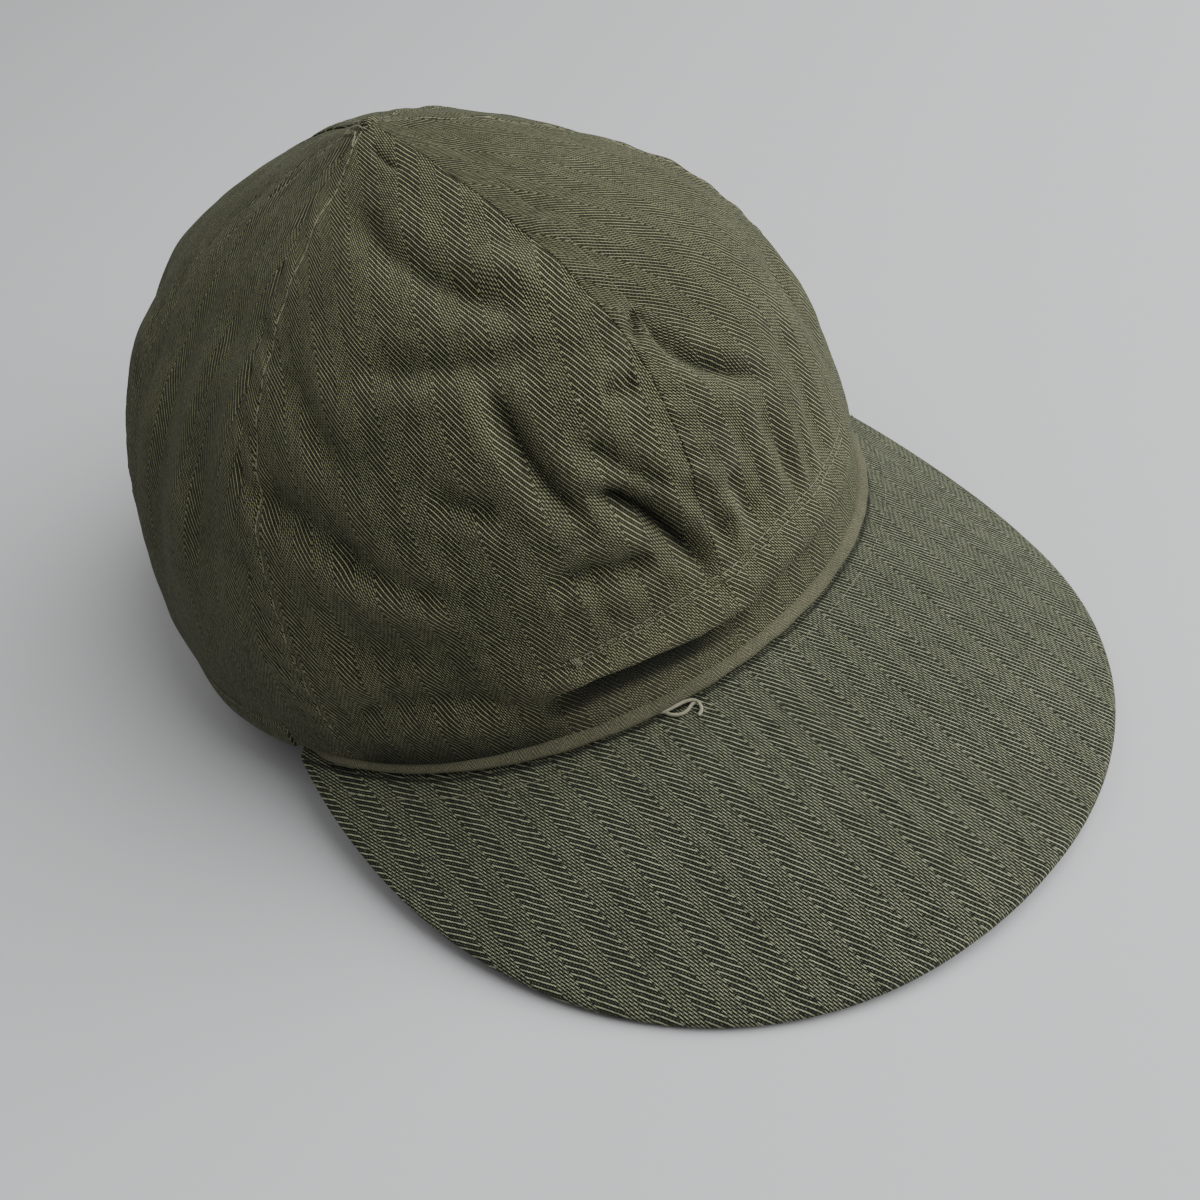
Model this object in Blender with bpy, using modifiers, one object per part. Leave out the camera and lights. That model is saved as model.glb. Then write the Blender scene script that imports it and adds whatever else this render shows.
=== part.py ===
# Utility cap: six sewn crown panels, a front tuck, a corded welt, a turned hem and an arched visor.
# Metres, +Z up. The visor points along -Y and the wearer's right is at -X.
# The panels are made about the rim plane, then the whole cap is tipped to lie on its visor and back hem.
import bpy
import bmesh
import math
from mathutils import Vector

# crown
RIM_LENGTH = 0.194          # outside of the crown cloth at the rim, front to back
RIM_WIDTH = 0.167           # outside of the crown cloth at the rim, side to side
CROWN_HEIGHT = 0.1125       # rim plane to the top of the crown
CROWN_BILLOW = 0.0018       # how far the cloth stands out over the rim all round
APEX_FORWARD = 0.0164       # how far the top leans towards the visor
CLOTH = 0.001               # crown cloth thickness
SEAM_WIDTH = 0.008          # felled seam, fold edge to top stitch
SEAM_RISE = 0.0007          # how far a felled seam stands proud
GAP = 0.0003                # clearance between neighbouring pieces
SEAM_LEAN = 0.3             # share of the cloth by which panels part further, as they lean together

# crown outline: exponents of the height and reach curves, and bulge at mid height as a share of the reach
HEIGHT_CURVE = 0.476
REACH_CURVE = 1.865
BULGE_ALL = -0.013
BULGE_FRONT = 0.021
BULGE_ENDS = 0.184

# seams, degrees round the crown from the front, towards the wearer's left
FRONT_SEAM = 0.0
SIDE_SEAM = 65.0
REAR_SEAM = 122.0
BACK_SEAM = 180.0
PANEL_TOP = 0.95            # share of the way up where the panels stop round the knot

# visor
VISOR_WIDTH = 0.1686
VISOR_REACH = 0.1672        # centre of the rim to the visor's front edge
VISOR_CENTRE = 0.0636       # centre of the rim to the visor's widest line
VISOR_ROUND = 2.12          # exponent of its outline, 2 for an ellipse
VISOR_THICKNESS = 0.0028
VISOR_SLOPE = 17.5          # degrees, down towards the front
VISOR_ARCH = 0.0233         # drop of the visor's arch at its half width
VISOR_NOSE = 0.0078         # further drop of its front edge
VISOR_TWIST = 0.0042        # height its wearer's left gains at the front, at half width
VISOR_ROOT = -0.0009        # height of the visor's root at the front centre
VISOR_END = 0.0022          # width left where the visor runs out along the rim

# welt, hem, tuck, knot
WELT_DIAMETER = 0.0026
HEM_HEIGHT = 0.006
HEM_THICKNESS = 0.0009
HEM_DROP = 0.0007           # how far the hem reaches below the crown cloth
TUCK_THICKNESS = 0.0013
TUCK_RIGHT = -24.0          # degrees, end towards the wearer's right
TUCK_LEFT = 34.0
KNOT_DIAMETER = 0.0044
KNOT_HEIGHT = 0.0026

# folds are given as shares of these two sizes
FOLD_WIDTH = 0.010
FOLD_DEPTH = 0.004

COLUMNS = 10                # across a panel, beside its seam strips
LOW_ROWS = 6                # from the hem to the top of the tuck
HIGH_ROWS = 14              # from there to the top of the panel

# Main folds of the crown. Angle in degrees from the front, rise as a share of the way from rim to top,
# at the start, the middle and the end of each fold. Width and depth are shares of the fold sizes,
# and a negative depth is a ridge.
#        angle, rise   angle, rise   angle, rise   width  depth
FOLDS = (
    ((-19.0, 0.55), (-17.0, 0.44), (-14.0, 0.32), 0.50, 0.60),
    ((-11.0, 0.37), (-6.5, 0.29), (-2.0, 0.18), 0.45, 0.90),
    ((3.0, 0.57), (6.0, 0.48), (14.0, 0.39), 0.42, 0.60),
    ((-44.0, 0.82), (-27.0, 0.74), (-12.0, 0.64), 0.55, 0.75),
    ((-14.0, 0.71), (-8.0, 0.68), (-2.0, 0.66), 0.50, -0.45),
    ((-40.0, 0.63), (-29.0, 0.61), (-18.0, 0.60), 0.85, 0.50),
    ((-64.0, 0.46), (-53.0, 0.42), (-41.0, 0.34), 0.60, 0.50),
    ((-55.0, 0.26), (-40.0, 0.19), (-26.0, 0.09), 0.95, 0.75),
    ((5.0, 0.29), (7.0, 0.24), (8.0, 0.18), 0.35, 0.40),
    ((13.0, 0.35), (16.0, 0.27), (17.0, 0.19), 0.40, 0.45),
    ((24.0, 0.42), (26.0, 0.32), (26.0, 0.20), 0.45, 0.40),
    ((38.0, 0.48), (40.0, 0.35), (46.0, 0.18), 0.60, 0.45),
    ((55.0, 0.64), (54.0, 0.46), (60.0, 0.24), 0.70, 0.45),
    ((-80.0, 0.72), (-79.0, 0.50), (-76.0, 0.24), 0.75, 0.45),
    ((-98.0, 0.70), (-95.0, 0.48), (-96.0, 0.20), 0.80, 0.50),
    ((-113.0, 0.62), (-112.0, 0.42), (-108.0, 0.18), 0.75, 0.45),
    ((-140.0, 0.66), (-143.0, 0.44), (-138.0, 0.20), 0.90, 0.60),
    ((-165.0, 0.58), (-160.0, 0.40), (-162.0, 0.22), 0.80, 0.45),
    ((158.0, 0.64), (163.0, 0.42), (160.0, 0.20), 0.85, 0.55),
    ((137.0, 0.60), (134.0, 0.40), (138.0, 0.18), 0.80, 0.50),
    ((104.0, 0.70), (108.0, 0.46), (104.0, 0.20), 0.85, 0.55),
    ((82.0, 0.60), (86.0, 0.42), (82.0, 0.20), 0.75, 0.50),
)

# Crease below the tuck and the roll above it, as for the folds.
CREASES = (
    ((-33.0, 0.100), (-16.0, 0.094), (-2.0, 0.064), 0.34, 0.85),
    ((-2.0, 0.064), (16.0, 0.068), (36.0, 0.080), 0.34, 0.70),
    ((-30.0, 0.190), (4.0, 0.205), (38.0, 0.215), 0.40, -0.25),
)

# Section of the tuck: rise on the crown, and stand-off from the crown cloth as a share of its thickness.
TUCK_SECTION = (
    (0.088, 1.9),
    (0.108, 1.8),
    (0.130, 1.25),
    (0.164, 1.0),
)

# colour, roughness
LOOKS = {
    "crown_cloth": ((0.085, 0.085, 0.055, 1.0), 0.9),
    "side_cloth": ((0.070, 0.070, 0.046, 1.0), 0.9),
    "tuck_cloth": ((0.110, 0.100, 0.066, 1.0), 0.9),
    "hem_cloth": ((0.090, 0.086, 0.056, 1.0), 0.9),
    "welt_cloth": ((0.130, 0.115, 0.075, 1.0), 0.9),
    "visor_cloth": ((0.080, 0.088, 0.062, 1.0), 0.9),
    "knot_thread": ((0.300, 0.280, 0.200, 1.0), 0.8),
}


def smooth(value, low, high):
    share = min(max((value - low) / (high - low), 0.0), 1.0)
    return share * share * (3.0 - 2.0 * share)


def visor_height(x, forward):
    """Height of the visor's upper surface over a point of the rim plane."""
    side = x / (VISOR_WIDTH / 2.0)
    slope = math.tan(math.radians(VISOR_SLOPE))
    arch = VISOR_ARCH * side * side * (1.0 + 0.1 * (side * side - 1.0))
    far = min(max((forward - RIM_LENGTH / 2.0) / (VISOR_REACH - RIM_LENGTH / 2.0), 0.0), 1.0)
    bend = VISOR_TWIST * side * far - VISOR_NOSE * far * far
    return VISOR_ROOT - slope * (forward - RIM_LENGTH / 2.0) - arch + bend


def rim_plan(angle, out=0.0):
    """Sideways and forward distance of the rim, moved outwards by a small distance."""
    theta = math.radians(angle)
    return (
        (RIM_WIDTH / 2.0 + out) * math.sin(theta),
        (RIM_LENGTH / 2.0 + out) * math.cos(theta),
    )


def visor_plan(turn):
    """Outer edge of the visor, a half ellipse that runs on back beside the rim."""
    side, ahead = math.sin(turn), math.cos(turn)
    return (
        VISOR_WIDTH / 2.0 * math.copysign(abs(side) ** (2.0 / VISOR_ROUND), side),
        VISOR_CENTRE
        + (VISOR_REACH - VISOR_CENTRE) * math.copysign(abs(ahead) ** (2.0 / VISOR_ROUND), ahead),
    )


def visor_end():
    """Rim angle and edge turn where the visor has narrowed to its last width."""
    low, high = math.radians(60.0), math.radians(170.0)
    for _ in range(50):
        turn = (low + high) / 2.0
        x, forward = visor_plan(turn)
        out = math.hypot(x / (RIM_WIDTH / 2.0), forward / (RIM_LENGTH / 2.0))
        if (out - 1.0) * RIM_WIDTH / 2.0 > VISOR_END:
            low = turn
        else:
            high = turn
    x, forward = visor_plan(low)
    angle = math.degrees(math.atan2(x / RIM_WIDTH, forward / RIM_LENGTH))
    return angle, low


END_ANGLE, END_TURN = visor_end()


def rim_height(angle):
    """The crown stands on the visor in front and on the level rim behind it."""
    turned = min(abs((angle + 180.0) % 360.0 - 180.0), END_ANGLE)
    height = visor_height(*rim_plan(turned, -CLOTH))
    last = visor_height(*rim_plan(END_ANGLE))
    return height - last + 1.5 * GAP


def dome(angle, rise):
    """Outer surface of the crown without its folds."""
    theta = math.radians(angle)
    lift = math.pi / 2.0 * rise * rise
    reach = max(math.cos(lift), 0.0) ** REACH_CURVE
    height = math.sin(lift) ** HEIGHT_CURVE
    bulge = BULGE_ALL + BULGE_FRONT * math.cos(theta) + BULGE_ENDS * math.cos(2.0 * theta)
    wide = reach * (1.0 + bulge * math.sin(2.0 * lift))
    billow = CROWN_BILLOW * smooth(rise, 0.0, 0.12)
    x = (RIM_WIDTH / 2.0 + billow) * math.sin(theta) * wide
    y = -(RIM_LENGTH / 2.0 + billow) * math.cos(theta) * wide - APEX_FORWARD * (1.0 - reach)
    z = rim_height(angle) * (1.0 - height) + CROWN_HEIGHT * height
    return Vector((x, y, z))


def rise_at(height):
    """Share of the way up at which the back of the crown is this high."""
    low, high = 0.0, 1.0
    for _ in range(40):
        rise = (low + high) / 2.0
        if dome(BACK_SEAM, rise).z < height:
            low = rise
        else:
            high = rise
    return low


HEM_RISE = rise_at(HEM_HEIGHT)


def dome_normal(angle, rise):
    rise = min(max(rise, 0.02), 0.97)
    across = dome(angle + 0.5, rise) - dome(angle - 0.5, rise)
    along = dome(angle, rise + 0.004) - dome(angle, rise - 0.004)
    return across.cross(along).normalized()


def fold_line(row):
    """A fold as a chain of points on the dome, bent through its middle point."""
    start, middle, end = row[0], row[1], row[2]
    line = []
    for step in range(13):
        share = step / 12.0
        first = (1.0 - share) * (1.0 - 2.0 * share)
        second = 4.0 * share * (1.0 - share)
        third = share * (2.0 * share - 1.0)
        angle = first * start[0] + second * middle[0] + third * end[0]
        rise = first * start[1] + second * middle[1] + third * end[1]
        line.append(dome(angle, rise))
    return line


LINES = [(fold_line(row), row[3] * FOLD_WIDTH, row[4] * FOLD_DEPTH) for row in FOLDS + CREASES]


def fold_depth(point):
    """Sum of all folds at a point of the dome: a valley with low shoulders, fading at its ends."""
    total = 0.0
    for line, width, depth in LINES:
        near, place = 1.0, 0
        for index, knot in enumerate(line):
            distance = (point - knot).length
            if distance < near:
                near, place = distance, index
        if near > 4.0 * width + 0.01:
            continue
        share = place / 12.0
        for index in (place - 1, place):
            if 0 <= index < 12:
                run = line[index + 1] - line[index]
                along = min(max((point - line[index]).dot(run) / run.length_squared, 0.0), 1.0)
                distance = (point - line[index] - run * along).length
                if distance <= near:
                    near, share = distance, (index + along) / 12.0
        q = near / width
        fade = smooth(share, 0.0, 0.25) * smooth(1.0 - share, 0.0, 0.25) * 0.8 + 0.2
        total += depth * fade * (0.5 * q * q - 1.0) * math.exp(-q * q / 2.0)
    return total


def crown_surface(angle, rise, out=0.0):
    """Outer surface of the crown with its folds, which die away at the rim and at the top."""
    return dome(angle, rise) + dome_normal(angle, rise) * (crown_offset(angle, rise) + out)


def crown_offset(angle, rise):
    steady = smooth(rise, HEM_RISE, HEM_RISE + 0.03) * smooth(1.0 - rise, 0.03, 0.15)
    return fold_depth(dome(angle, rise)) * steady if steady > 0.0 else 0.0


def arc_per_degree(angle, rise):
    return (dome(angle + 0.5, rise) - dome(angle - 0.5, rise)).length


def sheet(name, places, columns, rows, look, thickness):
    """An open grid laid on a surface and thickened inwards to a closed cloth wall."""
    mesh = bpy.data.meshes.new(name)
    body = bmesh.new()
    bmesh.ops.create_grid(body, x_segments=columns, y_segments=rows, size=1.0)
    for vert in body.verts:
        column = round((vert.co.x + 1.0) / 2.0 * columns)
        row = round((vert.co.y + 1.0) / 2.0 * rows)
        vert.co = places(column, row)
    body.to_mesh(mesh)
    body.free()
    item = bpy.data.objects.new(name, mesh)
    wall = item.modifiers.new("cloth", "SOLIDIFY")
    wall.thickness = thickness
    wall.offset = -1.0
    wall.use_even_offset = True
    return finish(item, look)


def finish(item, look):
    colour, roughness = LOOKS[look]
    material = bpy.data.materials.get(look) or bpy.data.materials.new(look)
    material.use_nodes = True
    shader = material.node_tree.nodes["Principled BSDF"]
    shader.inputs["Base Color"].default_value = colour
    shader.inputs["Roughness"].default_value = roughness
    shader.inputs["Metallic"].default_value = 0.0
    item.data.materials.append(material)
    CAP.objects.link(item)
    item.parent = REST
    return item


def panel(name, first, last, strip_first, strip_last, look):
    """One gore between two seams. A felled strip lies along a seam that this panel laps over."""
    columns = COLUMNS + 2 * (strip_first + strip_last)
    low, middle = HEM_RISE * 1.08, TUCK_SECTION[-1][0]
    rises = [0.0] + [low + (middle - low) * row / LOW_ROWS for row in range(LOW_ROWS)]
    rises += [middle + (PANEL_TOP - middle) * row / HIGH_ROWS for row in range(HIGH_ROWS + 1)]

    def places(column, row):
        rise = rises[row]
        middle = (first + last) / 2.0
        degree = arc_per_degree(middle, rise) if row else arc_per_degree(middle, 0.01)
        half_gap = (GAP + SEAM_LEAN * CLOTH) / 2.0 / degree
        start, end = first + half_gap, last - half_gap
        width = (end - start) * degree
        strip = min(SEAM_WIDTH, 0.3 * width)
        offset = column
        if strip_first:
            start_edges = (0.0, strip, strip * 1.18)
            if column <= 2:
                angle = start + start_edges[column] / degree
                proud = (1.0, 1.0, 0.0)[column]
                return crown_surface(angle, rise, SEAM_RISE * proud * fade(rise))
            start = start + start_edges[2] / degree
            offset = column - 2
        if strip_last:
            end_edges = (strip * 1.18, strip, 0.0)
            left = columns - column
            if left <= 2:
                angle = end - end_edges[2 - left] / degree
                proud = (1.0, 1.0, 0.0)[left]
                return crown_surface(angle, rise, SEAM_RISE * proud * fade(rise))
            end = end - end_edges[0] / degree
        return crown_surface(start + (end - start) * offset / COLUMNS, rise)

    return sheet(name, places, columns, len(rises) - 1, look, CLOTH)


def fade(rise):
    """A felled seam is flush under the hem and at the knot."""
    return smooth(rise, HEM_RISE * 1.1, HEM_RISE * 1.5) * smooth(PANEL_TOP - rise, 0.0, 0.08)


def front_tuck():
    """The pleat across the lower front, its lower edge standing over the crease."""
    columns = 24

    def places(column, row):
        rise, stand = TUCK_SECTION[row]
        angle = TUCK_RIGHT + (TUCK_LEFT - TUCK_RIGHT) * column / columns
        ends = smooth(min(column, columns - column) / columns, -0.02, 0.12)
        off = GAP + TUCK_THICKNESS * (1.0 + (stand - 1.0) * ends)
        highest = max(crown_offset(angle, rise), 0.0)
        return dome(angle, rise) + dome_normal(angle, rise) * (off + highest + SEAM_RISE)

    return sheet("front_tuck", places, columns, len(TUCK_SECTION) - 1, "tuck_cloth", TUCK_THICKNESS)


def rim_hem():
    """The turned edge round the sides and back, which the cap rests on behind."""
    columns, rows = 48, 2
    start = END_ANGLE + 2.0

    def places(column, row):
        angle = start + (360.0 - 2.0 * start) * column / columns
        point = crown_surface(angle, HEM_RISE * row / rows, GAP + HEM_THICKNESS)
        if row == 0:
            point.z -= GAP + HEM_DROP
        return point

    return sheet("rim_hem", places, columns, rows, "hem_cloth", HEM_THICKNESS)


def visor():
    """A flat crescent lifted onto a surface that slopes forward and arches from side to side."""
    columns, rows = 36, 8

    def places(column, row):
        share = 2.0 * column / columns - 1.0
        root = rim_plan(END_ANGLE * share, -CLOTH)
        edge = visor_plan(END_TURN * share)
        reach = 1.0 - row / rows
        x = root[0] + (edge[0] - root[0]) * reach
        forward = root[1] + (edge[1] - root[1]) * reach
        height = visor_height(x, forward) - visor_height(*rim_plan(END_ANGLE))
        return Vector((x, -forward, height))

    item = sheet("visor", places, columns, rows, "visor_cloth", VISOR_THICKNESS)
    edge = item.modifiers.new("turned_edge", "BEVEL")
    edge.width = VISOR_THICKNESS * 0.3
    edge.segments = 1
    edge.limit_method = "ANGLE"
    edge.angle_limit = math.radians(50.0)
    return item


def welt():
    """A cord under cloth in the corner between the crown and the visor."""
    radius = WELT_DIAMETER / 2.0
    curve = bpy.data.curves.new("welt", "CURVE")
    curve.dimensions = "3D"
    curve.bevel_depth = radius
    curve.bevel_resolution = 2
    curve.use_fill_caps = True
    line = curve.splines.new("POLY")
    count = 41
    line.points.add(count - 1)
    last = visor_height(*rim_plan(END_ANGLE))
    for index in range(count):
        angle = (END_ANGLE - 2.5) * (2.0 * index / (count - 1) - 1.0)
        x, forward = rim_plan(angle, GAP + radius)
        height = visor_height(x, forward) - last + GAP + radius * 1.12
        line.points[index].co = (x, -forward, height, 1.0)
    return finish(bpy.data.objects.new("welt", curve), "welt_cloth")


def crown_knot():
    """The ends of the panel threads, drawn into a flat knot at the top."""
    mesh = bpy.data.meshes.new("crown_knot")
    body = bmesh.new()
    bmesh.ops.create_uvsphere(body, u_segments=12, v_segments=8, radius=0.5)
    top = dome(0.0, 1.0)
    for vert in body.verts:
        vert.co.x = vert.co.x * KNOT_DIAMETER + top.x
        vert.co.y = vert.co.y * KNOT_DIAMETER + top.y
        vert.co.z = vert.co.z * KNOT_HEIGHT + top.z - KNOT_HEIGHT / 4.0
    body.to_mesh(mesh)
    body.free()
    mesh.shade_smooth()
    return finish(bpy.data.objects.new("crown_knot", mesh), "knot_thread")


def corners(item):
    """Points of the finished piece, with its modifiers, in the cap's own frame."""
    graph = bpy.context.evaluated_depsgraph_get()
    shaped = item.evaluated_get(graph)
    mesh = shaped.to_mesh()
    points = [vert.co.copy() for vert in mesh.vertices]
    shaped.to_mesh_clear()
    return points


def lay_down(pieces):
    """Tip the cap about its back hem until the visor touches too, and centre it over the origin."""
    points = [point for piece in pieces for point in corners(piece)]
    back = min((p for p in points if p.y > RIM_LENGTH / 4.0), key=lambda p: p.z)
    heel = max((p for p in points if p.z < back.z + GAP), key=lambda p: p.y)
    tip = max(math.atan2(heel.z - p.z, heel.y - p.y) for p in points if p.y < -RIM_LENGTH / 4.0)
    REST.rotation_euler = (-tip, 0.0, 0.0)
    turn = REST.rotation_euler.to_matrix()
    laid = [turn @ point for point in points]
    low = [min(p[axis] for p in laid) for axis in range(3)]
    high = [max(p[axis] for p in laid) for axis in range(3)]
    REST.location = (-(low[0] + high[0]) / 2.0, -(low[1] + high[1]) / 2.0, -low[2])


for old in list(bpy.data.objects):
    bpy.data.objects.remove(old)
CAP = bpy.data.collections.new("utility_cap")
bpy.context.scene.collection.children.link(CAP)
REST = bpy.data.objects.new("rest", None)
CAP.objects.link(REST)

pieces = [
    panel("crown_panel_front_right", -SIDE_SEAM, FRONT_SEAM, 1, 0, "crown_cloth"),
    panel("crown_panel_front_left", FRONT_SEAM, SIDE_SEAM, 1, 1, "crown_cloth"),
    panel("crown_panel_side_right", -REAR_SEAM, -SIDE_SEAM, 1, 0, "side_cloth"),
    panel("crown_panel_side_left", SIDE_SEAM, REAR_SEAM, 0, 1, "side_cloth"),
    panel("crown_panel_back_right", -BACK_SEAM, -REAR_SEAM, 0, 0, "crown_cloth"),
    panel("crown_panel_back_left", REAR_SEAM, BACK_SEAM, 0, 1, "crown_cloth"),
    front_tuck(),
    rim_hem(),
    visor(),
    welt(),
    crown_knot(),
]
bpy.context.view_layer.update()
lay_down(pieces)
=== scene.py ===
import bpy
import math
import numpy as np
from mathutils import Matrix, Vector, noise


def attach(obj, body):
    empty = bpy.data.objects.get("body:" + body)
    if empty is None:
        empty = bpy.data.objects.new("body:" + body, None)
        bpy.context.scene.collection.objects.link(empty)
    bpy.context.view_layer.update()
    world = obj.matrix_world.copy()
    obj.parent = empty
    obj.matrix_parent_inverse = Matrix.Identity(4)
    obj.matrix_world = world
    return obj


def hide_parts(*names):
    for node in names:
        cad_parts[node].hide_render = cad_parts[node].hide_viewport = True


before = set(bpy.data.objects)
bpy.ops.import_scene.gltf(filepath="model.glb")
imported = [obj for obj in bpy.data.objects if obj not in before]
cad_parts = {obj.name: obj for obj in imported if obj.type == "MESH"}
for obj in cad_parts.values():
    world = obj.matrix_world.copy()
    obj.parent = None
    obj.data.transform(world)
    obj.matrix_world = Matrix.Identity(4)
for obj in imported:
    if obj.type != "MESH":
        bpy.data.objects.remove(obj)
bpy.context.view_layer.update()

scene = bpy.context.scene

camera = {
    "place": (-0.13216, -0.29123, 0.26727),
    "turn": (49.133, 13.96, -36.625),
    "lens": 50.58,
}


def makeCamera(values):
    data = bpy.data.cameras.new("viewCamera")
    data.lens = values["lens"]
    data.sensor_width = 36.0
    data.clip_start = 0.01
    item = bpy.data.objects.new("viewCamera", data)
    item.location = values["place"]
    item.rotation_euler = [math.radians(a) for a in values["turn"]]
    scene.collection.objects.link(item)
    scene.camera = item


makeCamera(camera)

# the whole cap, in metres; angles are in degrees from the front, below 0 on the wearer's right
cap = {
    "rimLength": 0.194,
    "rimWidth": 0.167,
    "crownHeight": 0.1125,
    "billow": 0.0018,
    "billowRise": 0.12,
    "apexForward": 0.0164,
    "cloth": 0.001,
    "gap": 0.0003,
    "seamWidth": 0.008,
    "heightCurve": 0.476,
    "reachCurve": 1.865,
    "bulgeAll": -0.013,
    "bulgeFront": 0.021,
    "bulgeEnds": 0.184,
    "visorWidth": 0.1686,
    "visorReach": 0.1672,
    "visorCentre": 0.0636,
    "visorRound": 2.12,
    "visorThickness": 0.0028,
    "visorSlope": 17.5,
    "visorArch": 0.0233,
    "visorArchGain": 0.1,
    "visorNose": 0.0078,
    "visorTwist": 0.0042,
    "visorRoot": -0.0009,
    "visorEnd": 0.0022,
    "foldWidth": 0.010,
    "foldDepth": 0.004,
    "hemHeight": 0.006,
    "tilt": -7.662,
    "shift": (0.0, 0.03133, 0.01312),
}


def smooth(value, low, high):
    share = np.clip((value - low) / (high - low), 0.0, 1.0)
    return share * share * (3.0 - 2.0 * share)


def toRow(points):
    turn = np.array(Matrix.Rotation(math.radians(cap["tilt"]), 3, "X"))
    return points @ turn.T + np.array(cap["shift"])


def visorHeight(x, forward):
    side = x / (cap["visorWidth"] / 2.0)
    arch = cap["visorArch"] * side * side * (1.0 + cap["visorArchGain"] * (side * side - 1.0))
    half = cap["rimLength"] / 2.0
    far = np.clip((forward - half) / (cap["visorReach"] - half), 0.0, 1.0)
    bend = cap["visorTwist"] * side * far - cap["visorNose"] * far * far
    fall = math.tan(math.radians(cap["visorSlope"])) * (forward - half)
    return cap["visorRoot"] - fall - arch + bend


def rimPlan(angle, out=0.0):
    theta = np.radians(angle)
    x = (cap["rimWidth"] / 2.0 + out) * np.sin(theta)
    return x, (cap["rimLength"] / 2.0 + out) * np.cos(theta)


def visorPlan(turn):
    side, ahead = np.sin(turn), np.cos(turn)
    power = 2.0 / cap["visorRound"]
    reach = cap["visorReach"] - cap["visorCentre"]
    x = cap["visorWidth"] / 2.0 * np.copysign(np.abs(side) ** power, side)
    return x, cap["visorCentre"] + reach * np.copysign(np.abs(ahead) ** power, ahead)


def visorEnd():
    low, high = math.radians(60.0), math.radians(170.0)
    for _ in range(50):
        turn = (low + high) / 2.0
        x, forward = visorPlan(turn)
        out = math.hypot(x / (cap["rimWidth"] / 2.0), forward / (cap["rimLength"] / 2.0))
        if (out - 1.0) * cap["rimWidth"] / 2.0 > cap["visorEnd"]:
            low = turn
        else:
            high = turn
    x, forward = visorPlan(low)
    return math.degrees(math.atan2(x / cap["rimWidth"], forward / cap["rimLength"])), low


endAngle, endTurn = visorEnd()
visorLast = float(visorHeight(*rimPlan(endAngle)))


def rimHeight(angle):
    turned = np.minimum(np.abs((angle + 180.0) % 360.0 - 180.0), endAngle)
    return visorHeight(*rimPlan(turned, -cap["cloth"])) - visorLast + 1.5 * cap["gap"]


def dome(angle, rise):
    theta = np.radians(angle)
    lift = math.pi / 2.0 * rise * rise
    reach = np.maximum(np.cos(lift), 0.0) ** cap["reachCurve"]
    height = np.sin(lift) ** cap["heightCurve"]
    bulge = cap["bulgeAll"] + cap["bulgeFront"] * np.cos(theta)
    bulge = bulge + cap["bulgeEnds"] * np.cos(2.0 * theta)
    wide = reach * (1.0 + bulge * np.sin(2.0 * lift))
    billow = cap["billow"] * smooth(rise, 0.0, cap["billowRise"])
    x = (cap["rimWidth"] / 2.0 + billow) * np.sin(theta) * wide
    y = -(cap["rimLength"] / 2.0 + billow) * np.cos(theta) * wide
    y = y - cap["apexForward"] * (1.0 - reach)
    z = rimHeight(angle) * (1.0 - height) + cap["crownHeight"] * height
    return np.stack([x, y, z], axis=-1)


def domeNormal(angle, rise):
    rise = np.clip(rise, 0.02, 0.97)
    across = dome(angle + 0.5, rise) - dome(angle - 0.5, rise)
    along = dome(angle, rise + 0.004) - dome(angle, rise - 0.004)
    normal = np.cross(across, along)
    return normal / np.linalg.norm(normal, axis=-1, keepdims=True)


def arcPerDegree(angle, rise):
    return np.linalg.norm(dome(angle + 0.5, rise) - dome(angle - 0.5, rise), axis=-1)


def riseAt(height):
    low, high = 0.0, 1.0
    for _ in range(40):
        rise = (low + high) / 2.0
        if dome(np.array(180.0), np.array(rise))[2] < height:
            low = rise
        else:
            high = rise
    return low


hemRise = riseAt(cap["hemHeight"])

creaseValues = {
    "segments": 12,
    "reach": 4.0,  # in widths of the fold
    "margin": 0.01,
    "sharpWidth": 0.3,
    "sharpDepth": 0.5,
    "fadeEnds": 0.25,
    "endDepth": 0.2,
}

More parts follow.
